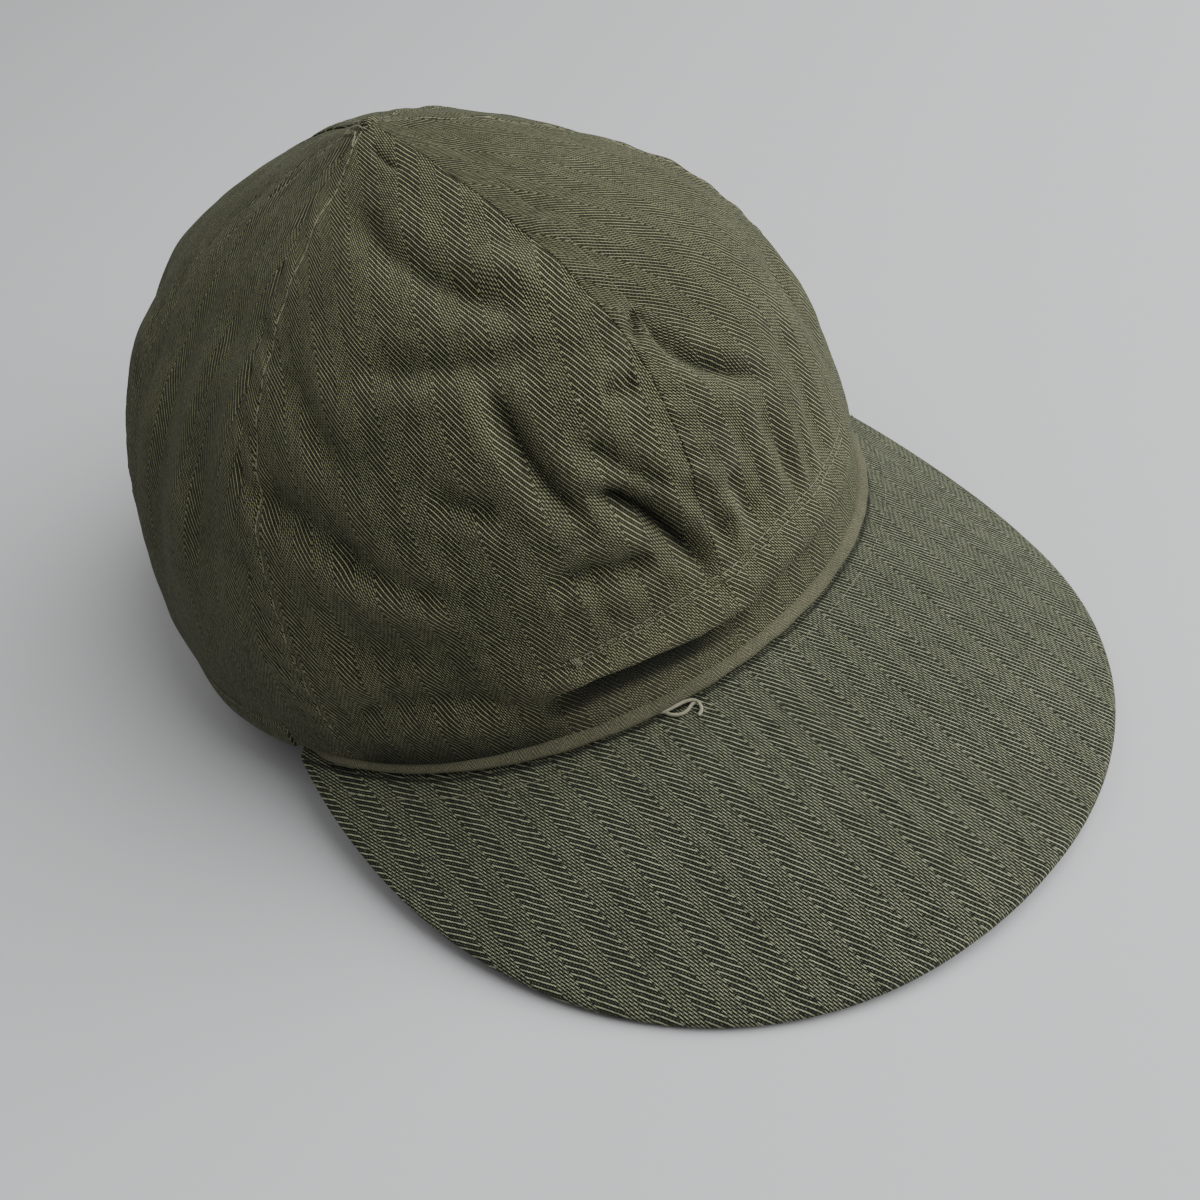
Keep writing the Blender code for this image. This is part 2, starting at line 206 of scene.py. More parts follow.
# angle and rise at the start, middle and end, then width, depth and crispness as shares; depth and
# crispness also set the painted shade along each fold
folds = (
    ((-19.8, 0.57), (-18.6, 0.45), (-14.5, 0.325), 0.30, 0.55, 1.1),
    ((-13.5, 0.385), (-6.6, 0.292), (-1.6, 0.165), 0.32, 0.85, 1.3),
    ((-12.5, 0.46), (-8.0, 0.395), (-3.0, 0.32), 0.28, 0.42, 0.9),
    ((4.2, 0.555), (7.0, 0.472), (16.5, 0.38), 0.26, 0.50, 1.1),
    ((3.8, 0.57), (2.6, 0.555), (1.2, 0.53), 0.18, 0.30, 1.2),
    ((-7, 0.50), (-4.5, 0.495), (-1.5, 0.49), 0.24, 0.30, 0.8),
    ((-42, 0.82), (-27, 0.73), (-8, 0.62), 0.38, 0.42, 0.6),
    ((-14, 0.71), (-8, 0.68), (-2, 0.66), 0.50, -0.40, 0.0),
    ((-41, 0.615), (-27, 0.605), (-9, 0.58), 0.45, 0.45, 0.6),
    ((-22.5, 0.272), (-15, 0.25), (-7.5, 0.232), 0.34, 0.50, 0.8),
    ((-33, 0.45), (-28.5, 0.42), (-24, 0.395), 0.32, 0.38, 0.6),
    ((-64, 0.46), (-53, 0.42), (-41, 0.34), 0.50, 0.50, 0.4),
    ((-50, 0.38), (-42, 0.33), (-33, 0.28), 0.35, 0.35, 0.4),
    ((-57, 0.25), (-44, 0.20), (-34, 0.16), 0.80, 0.50, 0.2),
    ((-60, 0.075), (-45, 0.122), (-29.5, 0.072), 0.50, 0.50, 0.5),
    ((-29, 0.902), (-23, 0.875), (-16, 0.840), 0.11, 0.13, 2.2),
    ((-58, 0.62), (-50, 0.56), (-44, 0.48), 0.40, 0.35, 0.3),
    ((5, 0.29), (7, 0.24), (8, 0.18), 0.28, 0.40, 0.7),
    ((8, 0.37), (10, 0.29), (11, 0.19), 0.30, 0.22, 0.4),
    ((13, 0.35), (16, 0.27), (17, 0.19), 0.32, 0.28, 0.5),
    ((-2, 0.33), (1, 0.25), (3, 0.17), 0.28, 0.30, 0.5),
    ((24, 0.42), (26, 0.32), (26, 0.20), 0.45, 0.28, 0.2),
    ((38, 0.48), (40, 0.35), (46, 0.18), 0.60, 0.45, 0.2),
    ((55, 0.64), (54, 0.46), (60, 0.24), 0.70, 0.45, 0.1),
    ((-80, 0.72), (-79, 0.50), (-76, 0.24), 0.75, 0.45, 0.1),
    ((-98, 0.70), (-95, 0.48), (-96, 0.20), 0.80, 0.50, 0.1),
    ((-113, 0.62), (-112, 0.42), (-108, 0.18), 0.75, 0.45, 0.1),
    ((-140, 0.66), (-143, 0.44), (-138, 0.20), 0.90, 0.60, 0.1),
    ((-165, 0.58), (-160, 0.40), (-162, 0.22), 0.80, 0.45, 0.1),
    ((158, 0.64), (163, 0.42), (160, 0.20), 0.85, 0.55, 0.1),
    ((137, 0.60), (134, 0.40), (138, 0.18), 0.80, 0.50, 0.1),
    ((104, 0.70), (108, 0.46), (104, 0.20), 0.85, 0.55, 0.1),
    ((82, 0.60), (86, 0.42), (82, 0.20), 0.75, 0.50, 0.1),
)


def foldLine(row):
    share = np.linspace(0.0, 1.0, creaseValues["segments"] + 1)[:, None]
    start, middle, end = (np.array(row[i], float) for i in range(3))
    first = (1.0 - share) * (1.0 - 2.0 * share)
    mixed = first * start + 4.0 * share * (1.0 - share) * middle + share * (2.0 * share - 1.0) * end
    return dome(mixed[:, 0], mixed[:, 1])


foldLines = [
    (foldLine(row), row[3] * cap["foldWidth"], row[4] * cap["foldDepth"], row[5])
    for row in folds
]


def foldDepth(points):
    values = creaseValues
    segments, ends = values["segments"], values["fadeEnds"]
    total, valleyShade = np.zeros(len(points)), np.zeros(len(points))
    for line, width, depth, crisp in foldLines:
        reach = values["reach"] * width + values["margin"]
        low, high = line.min(0) - reach, line.max(0) + reach
        near = np.where(((points > low) & (points < high)).all(1))[0]
        if len(near) == 0:
            continue
        place = points[near]
        best = np.full(len(near), 1.0)
        share = np.zeros(len(near))
        for index in range(segments):
            run = line[index + 1] - line[index]
            along = np.clip((place - line[index]) @ run / (run @ run), 0.0, 1.0)
            distance = np.linalg.norm(place - line[index] - along[:, None] * run, axis=1)
            closer = distance < best
            best = np.where(closer, distance, best)
            share = np.where(closer, (index + along) / segments, share)
        q = best / width
        fade = smooth(share, 0.0, ends) * smooth(1.0 - share, 0.0, ends)
        fade = fade * (1.0 - values["endDepth"]) + values["endDepth"]
        total[near] += depth * fade * (0.5 * q * q - 1.0) * np.exp(-q * q / 2.0)
        q = best / (values["sharpWidth"] * width)
        total[near] -= depth * fade * crisp * values["sharpDepth"] * np.exp(-q * q / 2.0)
        # painted shade: the fold lines are darkened towards near-black, more for deep and crisp
        # folds
        share = depth / cap["foldDepth"] * crisp * fade
        valleyShade[near] = np.maximum(valleyShade[near], share * np.exp(-q * q * 0.8))
    return total, np.clip(valleyShade, 0.0, 1.0)


def waveNoise(points, size, seed):
    shift = Vector((seed * 7.3, seed * 3.1, seed * 5.7))
    return np.array([noise.noise(Vector(p) / size + shift) for p in points])


seamAngles = (-180.0, -122.0, -65.0, 0.0, 65.0, 122.0, 180.0)
reliefValues = {
    "softSizes": (0.017, 0.008),
    "softDepths": (0.0007, 0.00028),
    "softLow": (0.05, 0.14),  # rises where a relief fades in, and rises below the top
    "softTop": (0.01, 0.1),
    "foldLow": 0.03,
    "foldTop": (0.03, 0.15),
    "puckerPitch": 0.0075,
    "puckerDepth": 0.00022,
    "puckerZone": (-0.004, 0.0, 0.006, 0.010),  # distances from the seam
    "puckerLow": 0.12,
    "puckerTop": (0.02, 0.12),
    "puckerDrift": (2.0, 0.011, 500.0),  # swing, its length, slant
    "gatherAngles": (-26.0, -14.0, 26.0, 36.0),
    "gatherRises": (0.155, 0.185, 0.21, 0.33),
    "gatherDepth": 0.0004,
    "gatherPitch": 1.02,
    "gatherDrift": (2.0, 0.31, 6.0),
}


def plateau(value, zone):
    return smooth(value, zone[0], zone[1]) * (1.0 - smooth(value, zone[2], zone[3]))


def crownRelief(angle, rise):
    values = reliefValues
    flat = dome(angle, rise)
    steady = smooth(rise, hemRise, hemRise + values["foldLow"])
    steady *= smooth(1.0 - rise, *values["foldTop"])
    depth, valleyShade = foldDepth(flat)
    total = depth * steady
    soft = waveNoise(flat, values["softSizes"][0], 1) * values["softDepths"][0]
    soft += waveNoise(flat, values["softSizes"][1], 2) * values["softDepths"][1]
    total += soft * smooth(rise, *values["softLow"]) * smooth(1.0 - rise, *values["softTop"])
    height = flat[:, 2]
    swing, length, slant = values["puckerDrift"]
    for seam in seamAngles:
        turned = (angle - seam + 180.0) % 360.0 - 180.0
        away = turned * arcPerDegree(angle, rise)
        lap = plateau(-away if seam == 65.0 else away, values["puckerZone"])
        drift = swing * np.sin(height / length + seam) + slant * away
        wave = np.sin(2.0 * math.pi * height / values["puckerPitch"] + drift)
        wave = wave * lap * smooth(rise, hemRise, values["puckerLow"])
        total += values["puckerDepth"] * (wave * smooth(1.0 - rise, *values["puckerTop"]))
    gather = plateau(angle, values["gatherAngles"]) * plateau(rise, values["gatherRises"])
    swing, often, slant = values["gatherDrift"]
    drift = swing * np.sin(angle * often) + slant * rise
    total += values["gatherDepth"] * gather * np.sin(angle * values["gatherPitch"] + drift)
    return total, valleyShade * steady


print("crown shape ready")


def makeMesh(name, points, faces, uv=None, marks=None, smoothed=True):
    mesh = bpy.data.meshes.new(name)
    mesh.from_pydata([tuple(p) for p in points], [], [tuple(f) for f in faces])
    mesh.update()
    if uv is not None:
        layer = mesh.uv_layers.new(name="clothMap")
        loops = np.zeros(len(mesh.loops), np.int32)
        mesh.loops.foreach_get("vertex_index", loops)
        layer.data.foreach_set("uv", np.asarray(uv, np.float32)[loops].ravel())
    for key, values in (marks or {}).items():
        mark = mesh.attributes.new(key, "FLOAT", "POINT")
        mark.data.foreach_set("value", np.asarray(values, np.float32))
    if smoothed:
        mesh.shade_smooth()
    item = bpy.data.objects.new(name, mesh)
    scene.collection.objects.link(item)
    return item


def gridFaces(rows, columns):
    index = np.arange(rows * columns).reshape(rows, columns)
    a, b = index[:-1, :-1], index[:-1, 1:]
    c, d = index[1:, 1:], index[1:, :-1]
    return np.stack([a, b, c, d], axis=-1).reshape(-1, 4)


def tubeFaces(rows, columns):
    index = np.arange(rows * columns).reshape(rows, columns)
    after = np.roll(index, -1, axis=0)
    faces = np.stack([index[:, :-1], index[:, 1:], after[:, 1:], after[:, :-1]], axis=-1)
    return faces.reshape(-1, 4).tolist() + [index[:, 0].tolist(), index[::-1, -1].tolist()]


def runLength(points):
    steps = np.linalg.norm(np.diff(points, axis=0), axis=1)
    return np.concatenate([[0.0], np.cumsum(steps)])


def turnCloth(across, along, degrees, shift=0.0):
    turn = math.radians(degrees)
    return np.stack([across * math.cos(turn) - along * math.sin(turn) + shift,
                     across * math.sin(turn) + along * math.cos(turn)], axis=-1)


def thicken(item, thickness):
    wall = item.modifiers.new("clothWall", "SOLIDIFY")
    wall.thickness = thickness
    wall.offset = -1.0
    return item


def fixPiece(item, material, slotName, *nodes):
    item.data.materials.clear()
    item.data.materials.append(material)
    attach(item, "root")
    if nodes:
        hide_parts(*nodes)
    return item


def addNode(tree, kind, given=None, **settings):
    node = tree.nodes.new(kind)
    for key, value in settings.items():
        setattr(node, key, value)
    for key, value in (given or {}).items():
        if isinstance(value, bpy.types.NodeSocket):
            tree.links.new(value, node.inputs[key])
        else:
            node.inputs[key].default_value = value
    return node


def mathNode(tree, operation, *values):
    return addNode(tree, "ShaderNodeMath", dict(enumerate(values)), operation=operation).outputs[0]


def newGroup(name, inputs, outputs, treeKind="ShaderNodeTree"):
    tree = bpy.data.node_groups.new(name, treeKind)
    for label, kind, value in inputs:
        socket = tree.interface.new_socket(name=label, in_out="INPUT", socket_type=kind)
        if value is not None:
            socket.default_value = value
    for label, kind in outputs:
        tree.interface.new_socket(name=label, in_out="OUTPUT", socket_type=kind)
    return tree, tree.nodes.new("NodeGroupInput"), tree.nodes.new("NodeGroupOutput")


weaveValues = {
    "driftScale": 0.14,
    "driftReach": 4.0,
    "ribRound": 0.68,
    "ribHeight": 0.92,
    "weftWidth": 0.36,
    "weftLength": 0.15,
    "weftHeight": 0.42,
}


def makeWeave(values):
    tree, given, result = newGroup(
        "herringboneTwill",
        [
            ("Vector", "NodeSocketVector", None),
            ("Yarn", "NodeSocketFloat", 0.335),
            ("Yarns In Column", "NodeSocketFloat", 13.0),
            ("Yarns In Rib", "NodeSocketFloat", 3.0),
            ("Rib Length", "NodeSocketFloat", 1.60),
            ("Rib Share", "NodeSocketFloat", 0.175),
            ("Dash Width", "NodeSocketFloat", 0.335),
            ("Dash Length", "NodeSocketFloat", 0.375),
            ("Dash Lean", "NodeSocketFloat", 1.7),
            ("Waver", "NodeSocketFloat", 0.09),
        ],
        [("Height", "NodeSocketFloat"), ("Yarn Tone", "NodeSocketFloat")],
    )

    def count(operation, *numbers):
        return mathNode(tree, operation, *numbers)

    def squared(value, width):
        return count("POWER", count("DIVIDE", value, width), 2.0)

    def bulge(first, second):
        left = count("SUBTRACT", count("SUBTRACT", 1.0, first), second)
        return count("SQRT", count("MAXIMUM", left, 0.0))

    def centred(value):
        return count("SUBTRACT", count("FRACT", value), 0.5)

    cloth, perRib = given.outputs["Vector"], given.outputs["Yarns In Rib"]
    drift = addNode(tree, "ShaderNodeTexNoise",
                    {"Scale": values["driftScale"], "Detail": 2.0, "Vector": cloth},
                    noise_dimensions="2D")
    middle = addNode(tree, "ShaderNodeVectorMath",
                     {0: drift.outputs["Color"], 1: (0.5, 0.5, 0.5)}, operation="SUBTRACT")
    reach = count("MULTIPLY", given.outputs["Waver"], values["driftReach"])
    moved = addNode(tree, "ShaderNodeVectorMath", {0: middle.outputs[0], "Scale": reach},
                    operation="SCALE")
    total = addNode(tree, "ShaderNodeVectorMath", {0: cloth, 1: moved.outputs[0]},
                    operation="ADD")
    split = addNode(tree, "ShaderNodeSeparateXYZ", {0: total.outputs[0]})
    across = count("DIVIDE", split.outputs["X"], given.outputs["Yarn"])
    along = count("DIVIDE", split.outputs["Y"], given.outputs["Rib Length"])
    yarn = count("FLOOR", across)
    inYarn = centred(across)
    column = count("FLOOR", count("DIVIDE", across, given.outputs["Yarns In Column"]))
    parity = count("FLOORED_MODULO", column, 2.0)
    ribStep = count("DIVIDE", yarn, perRib)
    # ribs that run with the twist of the yarn close up into lines, the others stay dashes
    ribPlace = count("ADD", along, count("ADD", ribStep, count("DIVIDE", inYarn, perRib)))
    rib = bulge(squared(centred(ribPlace), given.outputs["Rib Share"]),
                squared(inYarn, values["ribRound"]))
    dashPlace = count("SUBTRACT", along, ribStep)
    inDash = centred(dashPlace)
    lean = count("ADD", inYarn, count("MULTIPLY", inDash, given.outputs["Dash Lean"]))
    dash = bulge(squared(lean, given.outputs["Dash Width"]),
                 squared(inDash, given.outputs["Dash Length"]))
    kept = count("SUBTRACT", 1.0, parity)
    warp = count("ADD", count("MULTIPLY", rib, count("MULTIPLY", kept, values["ribHeight"])),
                 count("MULTIPLY", dash, parity))
    place = count("ADD", count("MULTIPLY", ribPlace, kept), count("MULTIPLY", dashPlace, parity))
    weft = bulge(squared(inYarn, values["weftWidth"]),
                 squared(centred(count("ADD", place, 0.5)), values["weftLength"]))
    height = count("MAXIMUM", warp, count("MULTIPLY", weft, values["weftHeight"]))
    both = addNode(tree, "ShaderNodeCombineXYZ", {"X": yarn, "Y": count("FLOOR", place)})
    pick = addNode(tree, "ShaderNodeTexWhiteNoise", {"Vector": both.outputs[0]},
                   noise_dimensions="2D")
    tree.links.new(height, result.inputs["Height"])
    tree.links.new(pick.outputs["Value"], result.inputs["Yarn Tone"])
    return tree


weaveGroup = makeWeave(weaveValues)


def mixColour(tree, factor, first, second, blend="MIX"):
    return addNode(tree, "ShaderNodeMix", {0: factor, 6: first, 7: second},
                   data_type="RGBA", blend_type=blend).outputs[2]


def noiseNode(tree, vector, scale, detail=3.0, rough=0.55, dimensions="3D"):
    given = {"Scale": scale, "Detail": detail, "Roughness": rough, "Vector": vector}
    return addNode(tree, "ShaderNodeTexNoise", given, noise_dimensions=dimensions).outputs["Fac"]


weatherValues = {"lintScale": 70.0, "lintSize": 0.03, "lintShare": 0.2}


def makeWeather(values):
    tree, given, result = newGroup(
        "washedCloth",
        [
            ("Vector", "NodeSocketVector", None),
            ("Patch Size", "NodeSocketFloat", 0.02),
            ("Lint", "NodeSocketFloat", 0.5),
        ],
        [("Patches", "NodeSocketFloat"), ("Lint Mask", "NodeSocketFloat")],
    )
    finer = mathNode(tree, "DIVIDE", 1.0, given.outputs["Patch Size"])
    scaled = addNode(tree, "ShaderNodeVectorMath", {0: given.outputs["Vector"], "Scale": finer},
                     operation="SCALE")
    patches = noiseNode(tree, scaled.outputs[0], 1.0, 5.0, 0.6)
    cells = addNode(tree, "ShaderNodeTexVoronoi", {
        "Scale": values["lintScale"], "Randomness": 1.0, "Vector": given.outputs["Vector"]})
    small = mathNode(tree, "LESS_THAN", cells.outputs["Distance"], values["lintSize"])
    chosen = addNode(tree, "ShaderNodeSeparateColor", {0: cells.outputs["Color"]})
    share = mathNode(tree, "MULTIPLY", given.outputs["Lint"], values["lintShare"])
    rare = mathNode(tree, "LESS_THAN", chosen.outputs[0], share)
    tree.links.new(patches, result.inputs["Patches"])
    tree.links.new(mathNode(tree, "MULTIPLY", small, rare), result.inputs["Lint Mask"])
    return tree


weatherGroup = makeWeather(weatherValues)

# what all the cloths share
clothFinish = {
    "shader": {
        "Metallic": 0.0,
        "Sheen Weight": 0.05,
        "Sheen Roughness": 0.5,
        "Sheen Tint": (0.9, 0.95, 0.8, 1.0),
        "Specular IOR Level": 0.25,
    },
    "lint": 0.5,
    "lintColour": (0.34, 0.33, 0.27, 1.0),
    # near-black colour of the painted shade in creases, fold lines and beside the welt
    "valleyShadeColour": (0.004, 0.0045, 0.003, 1.0),
    "fuzzScale": 1.9,
    "fuzz": 0.3,
    # each pair is a floor and a gain
    "unevenYarn": (0.7, 0.6),
    "wornFuzz": (0.35, 0.9),
    "wornTone": (0.12, 0.88),
    "recess": 0.21,
    "contrast": 1.45,
    "lintStrength": 0.8,
    # how far the painted shade darkens the cloth towards that colour
    "valleyShadeStrength": 0.9,
    "roughness": 0.95,
    "toneShine": 0.12,
    "bump": 0.9,
    "relief": 0.00035,
}


def clothMaterial(name, values):
    material = bpy.data.materials.new(name)
    material.use_nodes = True
    tree = material.node_tree
    finish = clothFinish
    shader = tree.nodes["Principled BSDF"]
    for key, value in finish["shader"].items():
        shader.inputs[key].default_value = value

    def count(operation, *numbers):
        return mathNode(tree, operation, *numbers)

    def ramp(value, floor, gain):
        return count("ADD", floor, count("MULTIPLY", value, gain))

    place = tree.nodes.new("ShaderNodeTexCoord")
    weave = addNode(tree, "ShaderNodeGroup", node_tree=weaveGroup,
                    given={"Vector": place.outputs["UV"], **values["weave"]})
    weather = addNode(tree, "ShaderNodeGroup", node_tree=weatherGroup,
                      given={"Vector": place.outputs["Object"], "Lint": finish["lint"]})
    # rub mark: wear, and on the band under the tuck also painted light
    rub = addNode(tree, "ShaderNodeAttribute", attribute_name="rub").outputs["Fac"]
    valleyShade = addNode(tree, "ShaderNodeAttribute", attribute_name="valleyShade").outputs["Fac"]
    fuzz = noiseNode(tree, place.outputs["UV"], finish["fuzzScale"], 3.0, 0.7, "2D")
    uneven = ramp(weave.outputs["Yarn Tone"], *finish["unevenYarn"])
    lift = count("MULTIPLY", weave.outputs["Height"], uneven)
    lift = count("ADD", lift, count("MULTIPLY", count("SUBTRACT", fuzz, 0.5), finish["fuzz"]))
    tone = count("MULTIPLY", count("SUBTRACT", lift, finish["recess"]), finish["contrast"])
    tone = count("MINIMUM", count("MAXIMUM", tone, 0.0), 1.0)
    colour = mixColour(tree, tone, values["dark"], values["light"])
    patches = count("SUBTRACT", weather.outputs["Patches"], 0.5)
    level = ramp(patches, 1.0, values["patchy"])
    shade = addNode(tree, "ShaderNodeCombineColor", {0: level, 1: level, 2: level})
    colour = mixColour(tree, 1.0, colour, shade.outputs[0], "MULTIPLY")
    worn = count("MULTIPLY", rub, ramp(fuzz, *finish["wornFuzz"]))
    wornTone = ramp(tone, *finish["wornTone"])
    faded = mixColour(tree, wornTone, values["dark"], values["worn"])
    colour = mixColour(tree, worn, colour, faded)
    lint = count("MULTIPLY", weather.outputs["Lint Mask"], finish["lintStrength"])
    colour = mixColour(tree, lint, colour, finish["lintColour"])
    # painted shade: the valley-shade mark darkens the colour towards near-black in creases, fold
    # lines and beside the welt
    deep = count("MULTIPLY", valleyShade, finish["valleyShadeStrength"])
    colour = mixColour(tree, deep, colour, finish["valleyShadeColour"])
    tree.links.new(colour, shader.inputs["Base Color"])
    shine = count("MULTIPLY", tone, finish["toneShine"])
    rough = count("SUBTRACT", finish["roughness"], shine)
    tree.links.new(rough, shader.inputs["Roughness"])
    bump = addNode(tree, "ShaderNodeBump", {
        "Strength": finish["bump"], "Distance": finish["relief"], "Height": lift})
    tree.links.new(bump.outputs["Normal"], shader.inputs["Normal"])
    return material


# lengths of the weave in mm
crownCloth = clothMaterial("crownHerringbone", {
    "dark": (0.006, 0.0065, 0.003, 1.0),
    "light": (0.330, 0.345, 0.186, 1.0),
    "worn": (0.360, 0.338, 0.208, 1.0),
    "patchy": 0.8,
    "weave": {"Yarn": 0.335, "Yarns In Column": 13.0, "Rib Length": 1.60, "Rib Share": 0.175,
              "Dash Lean": 1.7, "Waver": 0.09},
})
visorCloth = clothMaterial("visorHerringbone", {
    "dark": (0.007, 0.009, 0.006, 1.0),
    "light": (0.350, 0.376, 0.240, 1.0),
    # the darker colour that the visor's turned edge and underside take
    "worn": (0.200, 0.190, 0.130, 1.0),
    "patchy": 0.4,
    "weave": {"Yarn": 0.365, "Yarns In Column": 10.0, "Rib Length": 1.82, "Rib Share": 0.19,
              "Dash Lean": 1.2, "Waver": 0.09},
})
weltCloth = clothMaterial("weltCloth", {
    "dark": (0.060, 0.060, 0.037, 1.0),
    "light": (0.268, 0.268, 0.168, 1.0),
    "worn": (0.292, 0.280, 0.176, 1.0),
    "patchy": 0.8,
    "weave": {"Yarn": 0.26, "Yarns In Column": 7.0, "Rib Length": 0.80, "Rib Share": 0.175,
              "Dash Lean": 1.7, "Waver": 0.35},
})


threadFinish = {
    "roughness": 0.75,
    "sheen": 0.2,
    "fibreScale": 900.0,
    "fibreDetail": 2.0,
    "bump": 0.5,
    "relief": 0.0001,
}


def threadMaterial(name, light, dark):
    material = bpy.data.materials.new(name)
    material.use_nodes = True
    tree = material.node_tree
    shader = tree.nodes["Principled BSDF"]
    finish = threadFinish
    shader.inputs["Roughness"].default_value = finish["roughness"]
    shader.inputs["Sheen Weight"].default_value = finish["sheen"]
    place = tree.nodes.new("ShaderNodeTexCoord")
    grain = noiseNode(tree, place.outputs["Object"], finish["fibreScale"], finish["fibreDetail"])
    tree.links.new(mixColour(tree, grain, dark, light), shader.inputs["Base Color"])
    bump = addNode(tree, "ShaderNodeBump", {
        "Strength": finish["bump"], "Distance": finish["relief"], "Height": grain})
    tree.links.new(bump.outputs["Normal"], shader.inputs["Normal"])
    return material


seamThread = threadMaterial("seamThread", (0.215, 0.208, 0.128, 1.0), (0.080, 0.078, 0.046, 1.0))
paleThread = threadMaterial("paleThread", (0.360, 0.345, 0.240, 1.0), (0.150, 0.140, 0.090, 1.0))
# darker copy of the seam thread: painted shade for the stitches sunk along the front seam
shadedSeamThread = threadMaterial("shadedSeamThread", (0.170, 0.170, 0.098, 1.0), (0.060, 0.062, 0.034, 1.0))
print("materials ready")

# the tuck is a fold in the two front panels: height up the cloth and stand-off, both in mm
tuck = {
    "deep": ((0, 0.3), (2.2, 0.6), (4.2, 0.5), (6.2, 0.3), (8.4, 0.0), (10.6, -0.8), (11.9, -1.1),
             (12.3, 0.1), (11.9, 1.5), (12.1, 2.5), (13.0, 3.1), (14.7, 3.2), (16.7, 2.7),
             (18.6, 1.8), (20.4, 0.95), (21.6, 0.35), (22.5, 0.65), (23.5, 0.20), (24.4, 0.55),
             (26.5, 0.35), (30, 0)),
    "soft": ((0, 0.3), (3, 0.3), (6, 0.2), (9, -0.1), (10.8, -0.3), (11.8, -0.3), (12.8, -0.1),
             (13.6, 0.3), (14.3, 0.7), (15.0, 1.1), (15.8, 1.5), (16.8, 1.8), (18.0, 1.8),
             (19.2, 1.5), (20.4, 1.0), (21.6, 0.40), (22.5, 0.60), (23.5, 0.25), (24.4, 0.50),
             (26.5, 0.30), (30, 0)),
    "top": 30.0,
    "creaseAt": 12.0,
    "stitchAt": 23.5,
    # angle and value from here on
    "creaseHeight": ((-29, 15.0), (-21, 16.3), (-13, 15.1), (-4, 12.4), (0, 10.3), (16, 10.8),
                     (36, 12.5)),
    "stitchHeight": ((-23, 20.9), (-18, 22.3), (-4, 23.2), (2, 23.2), (12, 24.8), (22, 24.3),
                     (32, 23.8)),
    "overhang": ((-30, 0.4), (-23, 0.85), (-6, 0.78), (0, 0.38), (8, 0.16), (36, 0.22)),
    "amount": ((-36, 0.0), (-31, 0.25), (-25, 0.8), (-22, 1.0), (29, 1.0), (35, 0.5), (41, 0.0)),
    # angles along which the crease gets painted shade, the roll its rub and the band below the
    # crease painted light
    "shadeLightAndRubSpan": ((-32, 0.0), (-26, 0.8), (-22, 1.0), (-7, 1.0), (-2, 0.6), (3, 0.2), (10, 0.0)),
    "creaseShadeAt": 0.204,  # painted shade in the crease under the roll, as shares of the steps up the tuck
    "creaseShadeWide": 0.060,
    "steps": 66,
}

# distance up the cloth at the front centre, to turn a height into a rise
arcRise = np.linspace(0.0, 0.6, 1501)
arcLength = runLength(dome(np.zeros_like(arcRise), arcRise))


def fromTable(table, angle):
    rows = np.array(table, float)
    return np.interp(angle, rows[:, 0], rows[:, 1])


def tuckSection(angle, step):
    deep, soft = np.array(tuck["deep"], float), np.array(tuck["soft"], float)
    count = len(deep) - 1
    place = np.clip(step * count, 0.0, count - 1e-6)
    first = np.floor(place).astype(int)
    t = (place - first)[..., None]
    over = fromTable(tuck["overhang"], angle)[..., None]

    def control(index):
        index = np.clip(index, 0, count)
        return soft[index] * (1.0 - over) + deep[index] * over

    p0, p1, p2, p3 = (control(first + i) for i in (-1, 0, 1, 2))
    curve = 0.5 * (2 * p1 + (p2 - p0) * t + (2 * p0 - 5 * p1 + 4 * p2 - p3) * t * t
                   + (3 * p1 - p0 - 3 * p2 + p3) * t ** 3)
    height, off = curve[..., 0], curve[..., 1]
    crease = fromTable(tuck["creaseHeight"], angle)
    stitch = fromTable(tuck["stitchHeight"], angle)
    creaseAt, stitchAt, top = tuck["creaseAt"], tuck["stitchAt"], tuck["top"]
    low = height * crease / creaseAt
    mid = crease + (height - creaseAt) * (stitch - crease) / (stitchAt - creaseAt)
    high = stitch + (height - stitchAt) * (top - stitch) / (top - stitchAt)
    folded = np.where(height < creaseAt, low, np.where(height < stitchAt, mid, high))
    amount = fromTable(tuck["amount"], angle)
    height = (step * top) * (1.0 - amount) + folded * amount
    rise = np.interp(height / 1000.0, arcLength, arcRise)
    return rise, off * amount / 1000.0


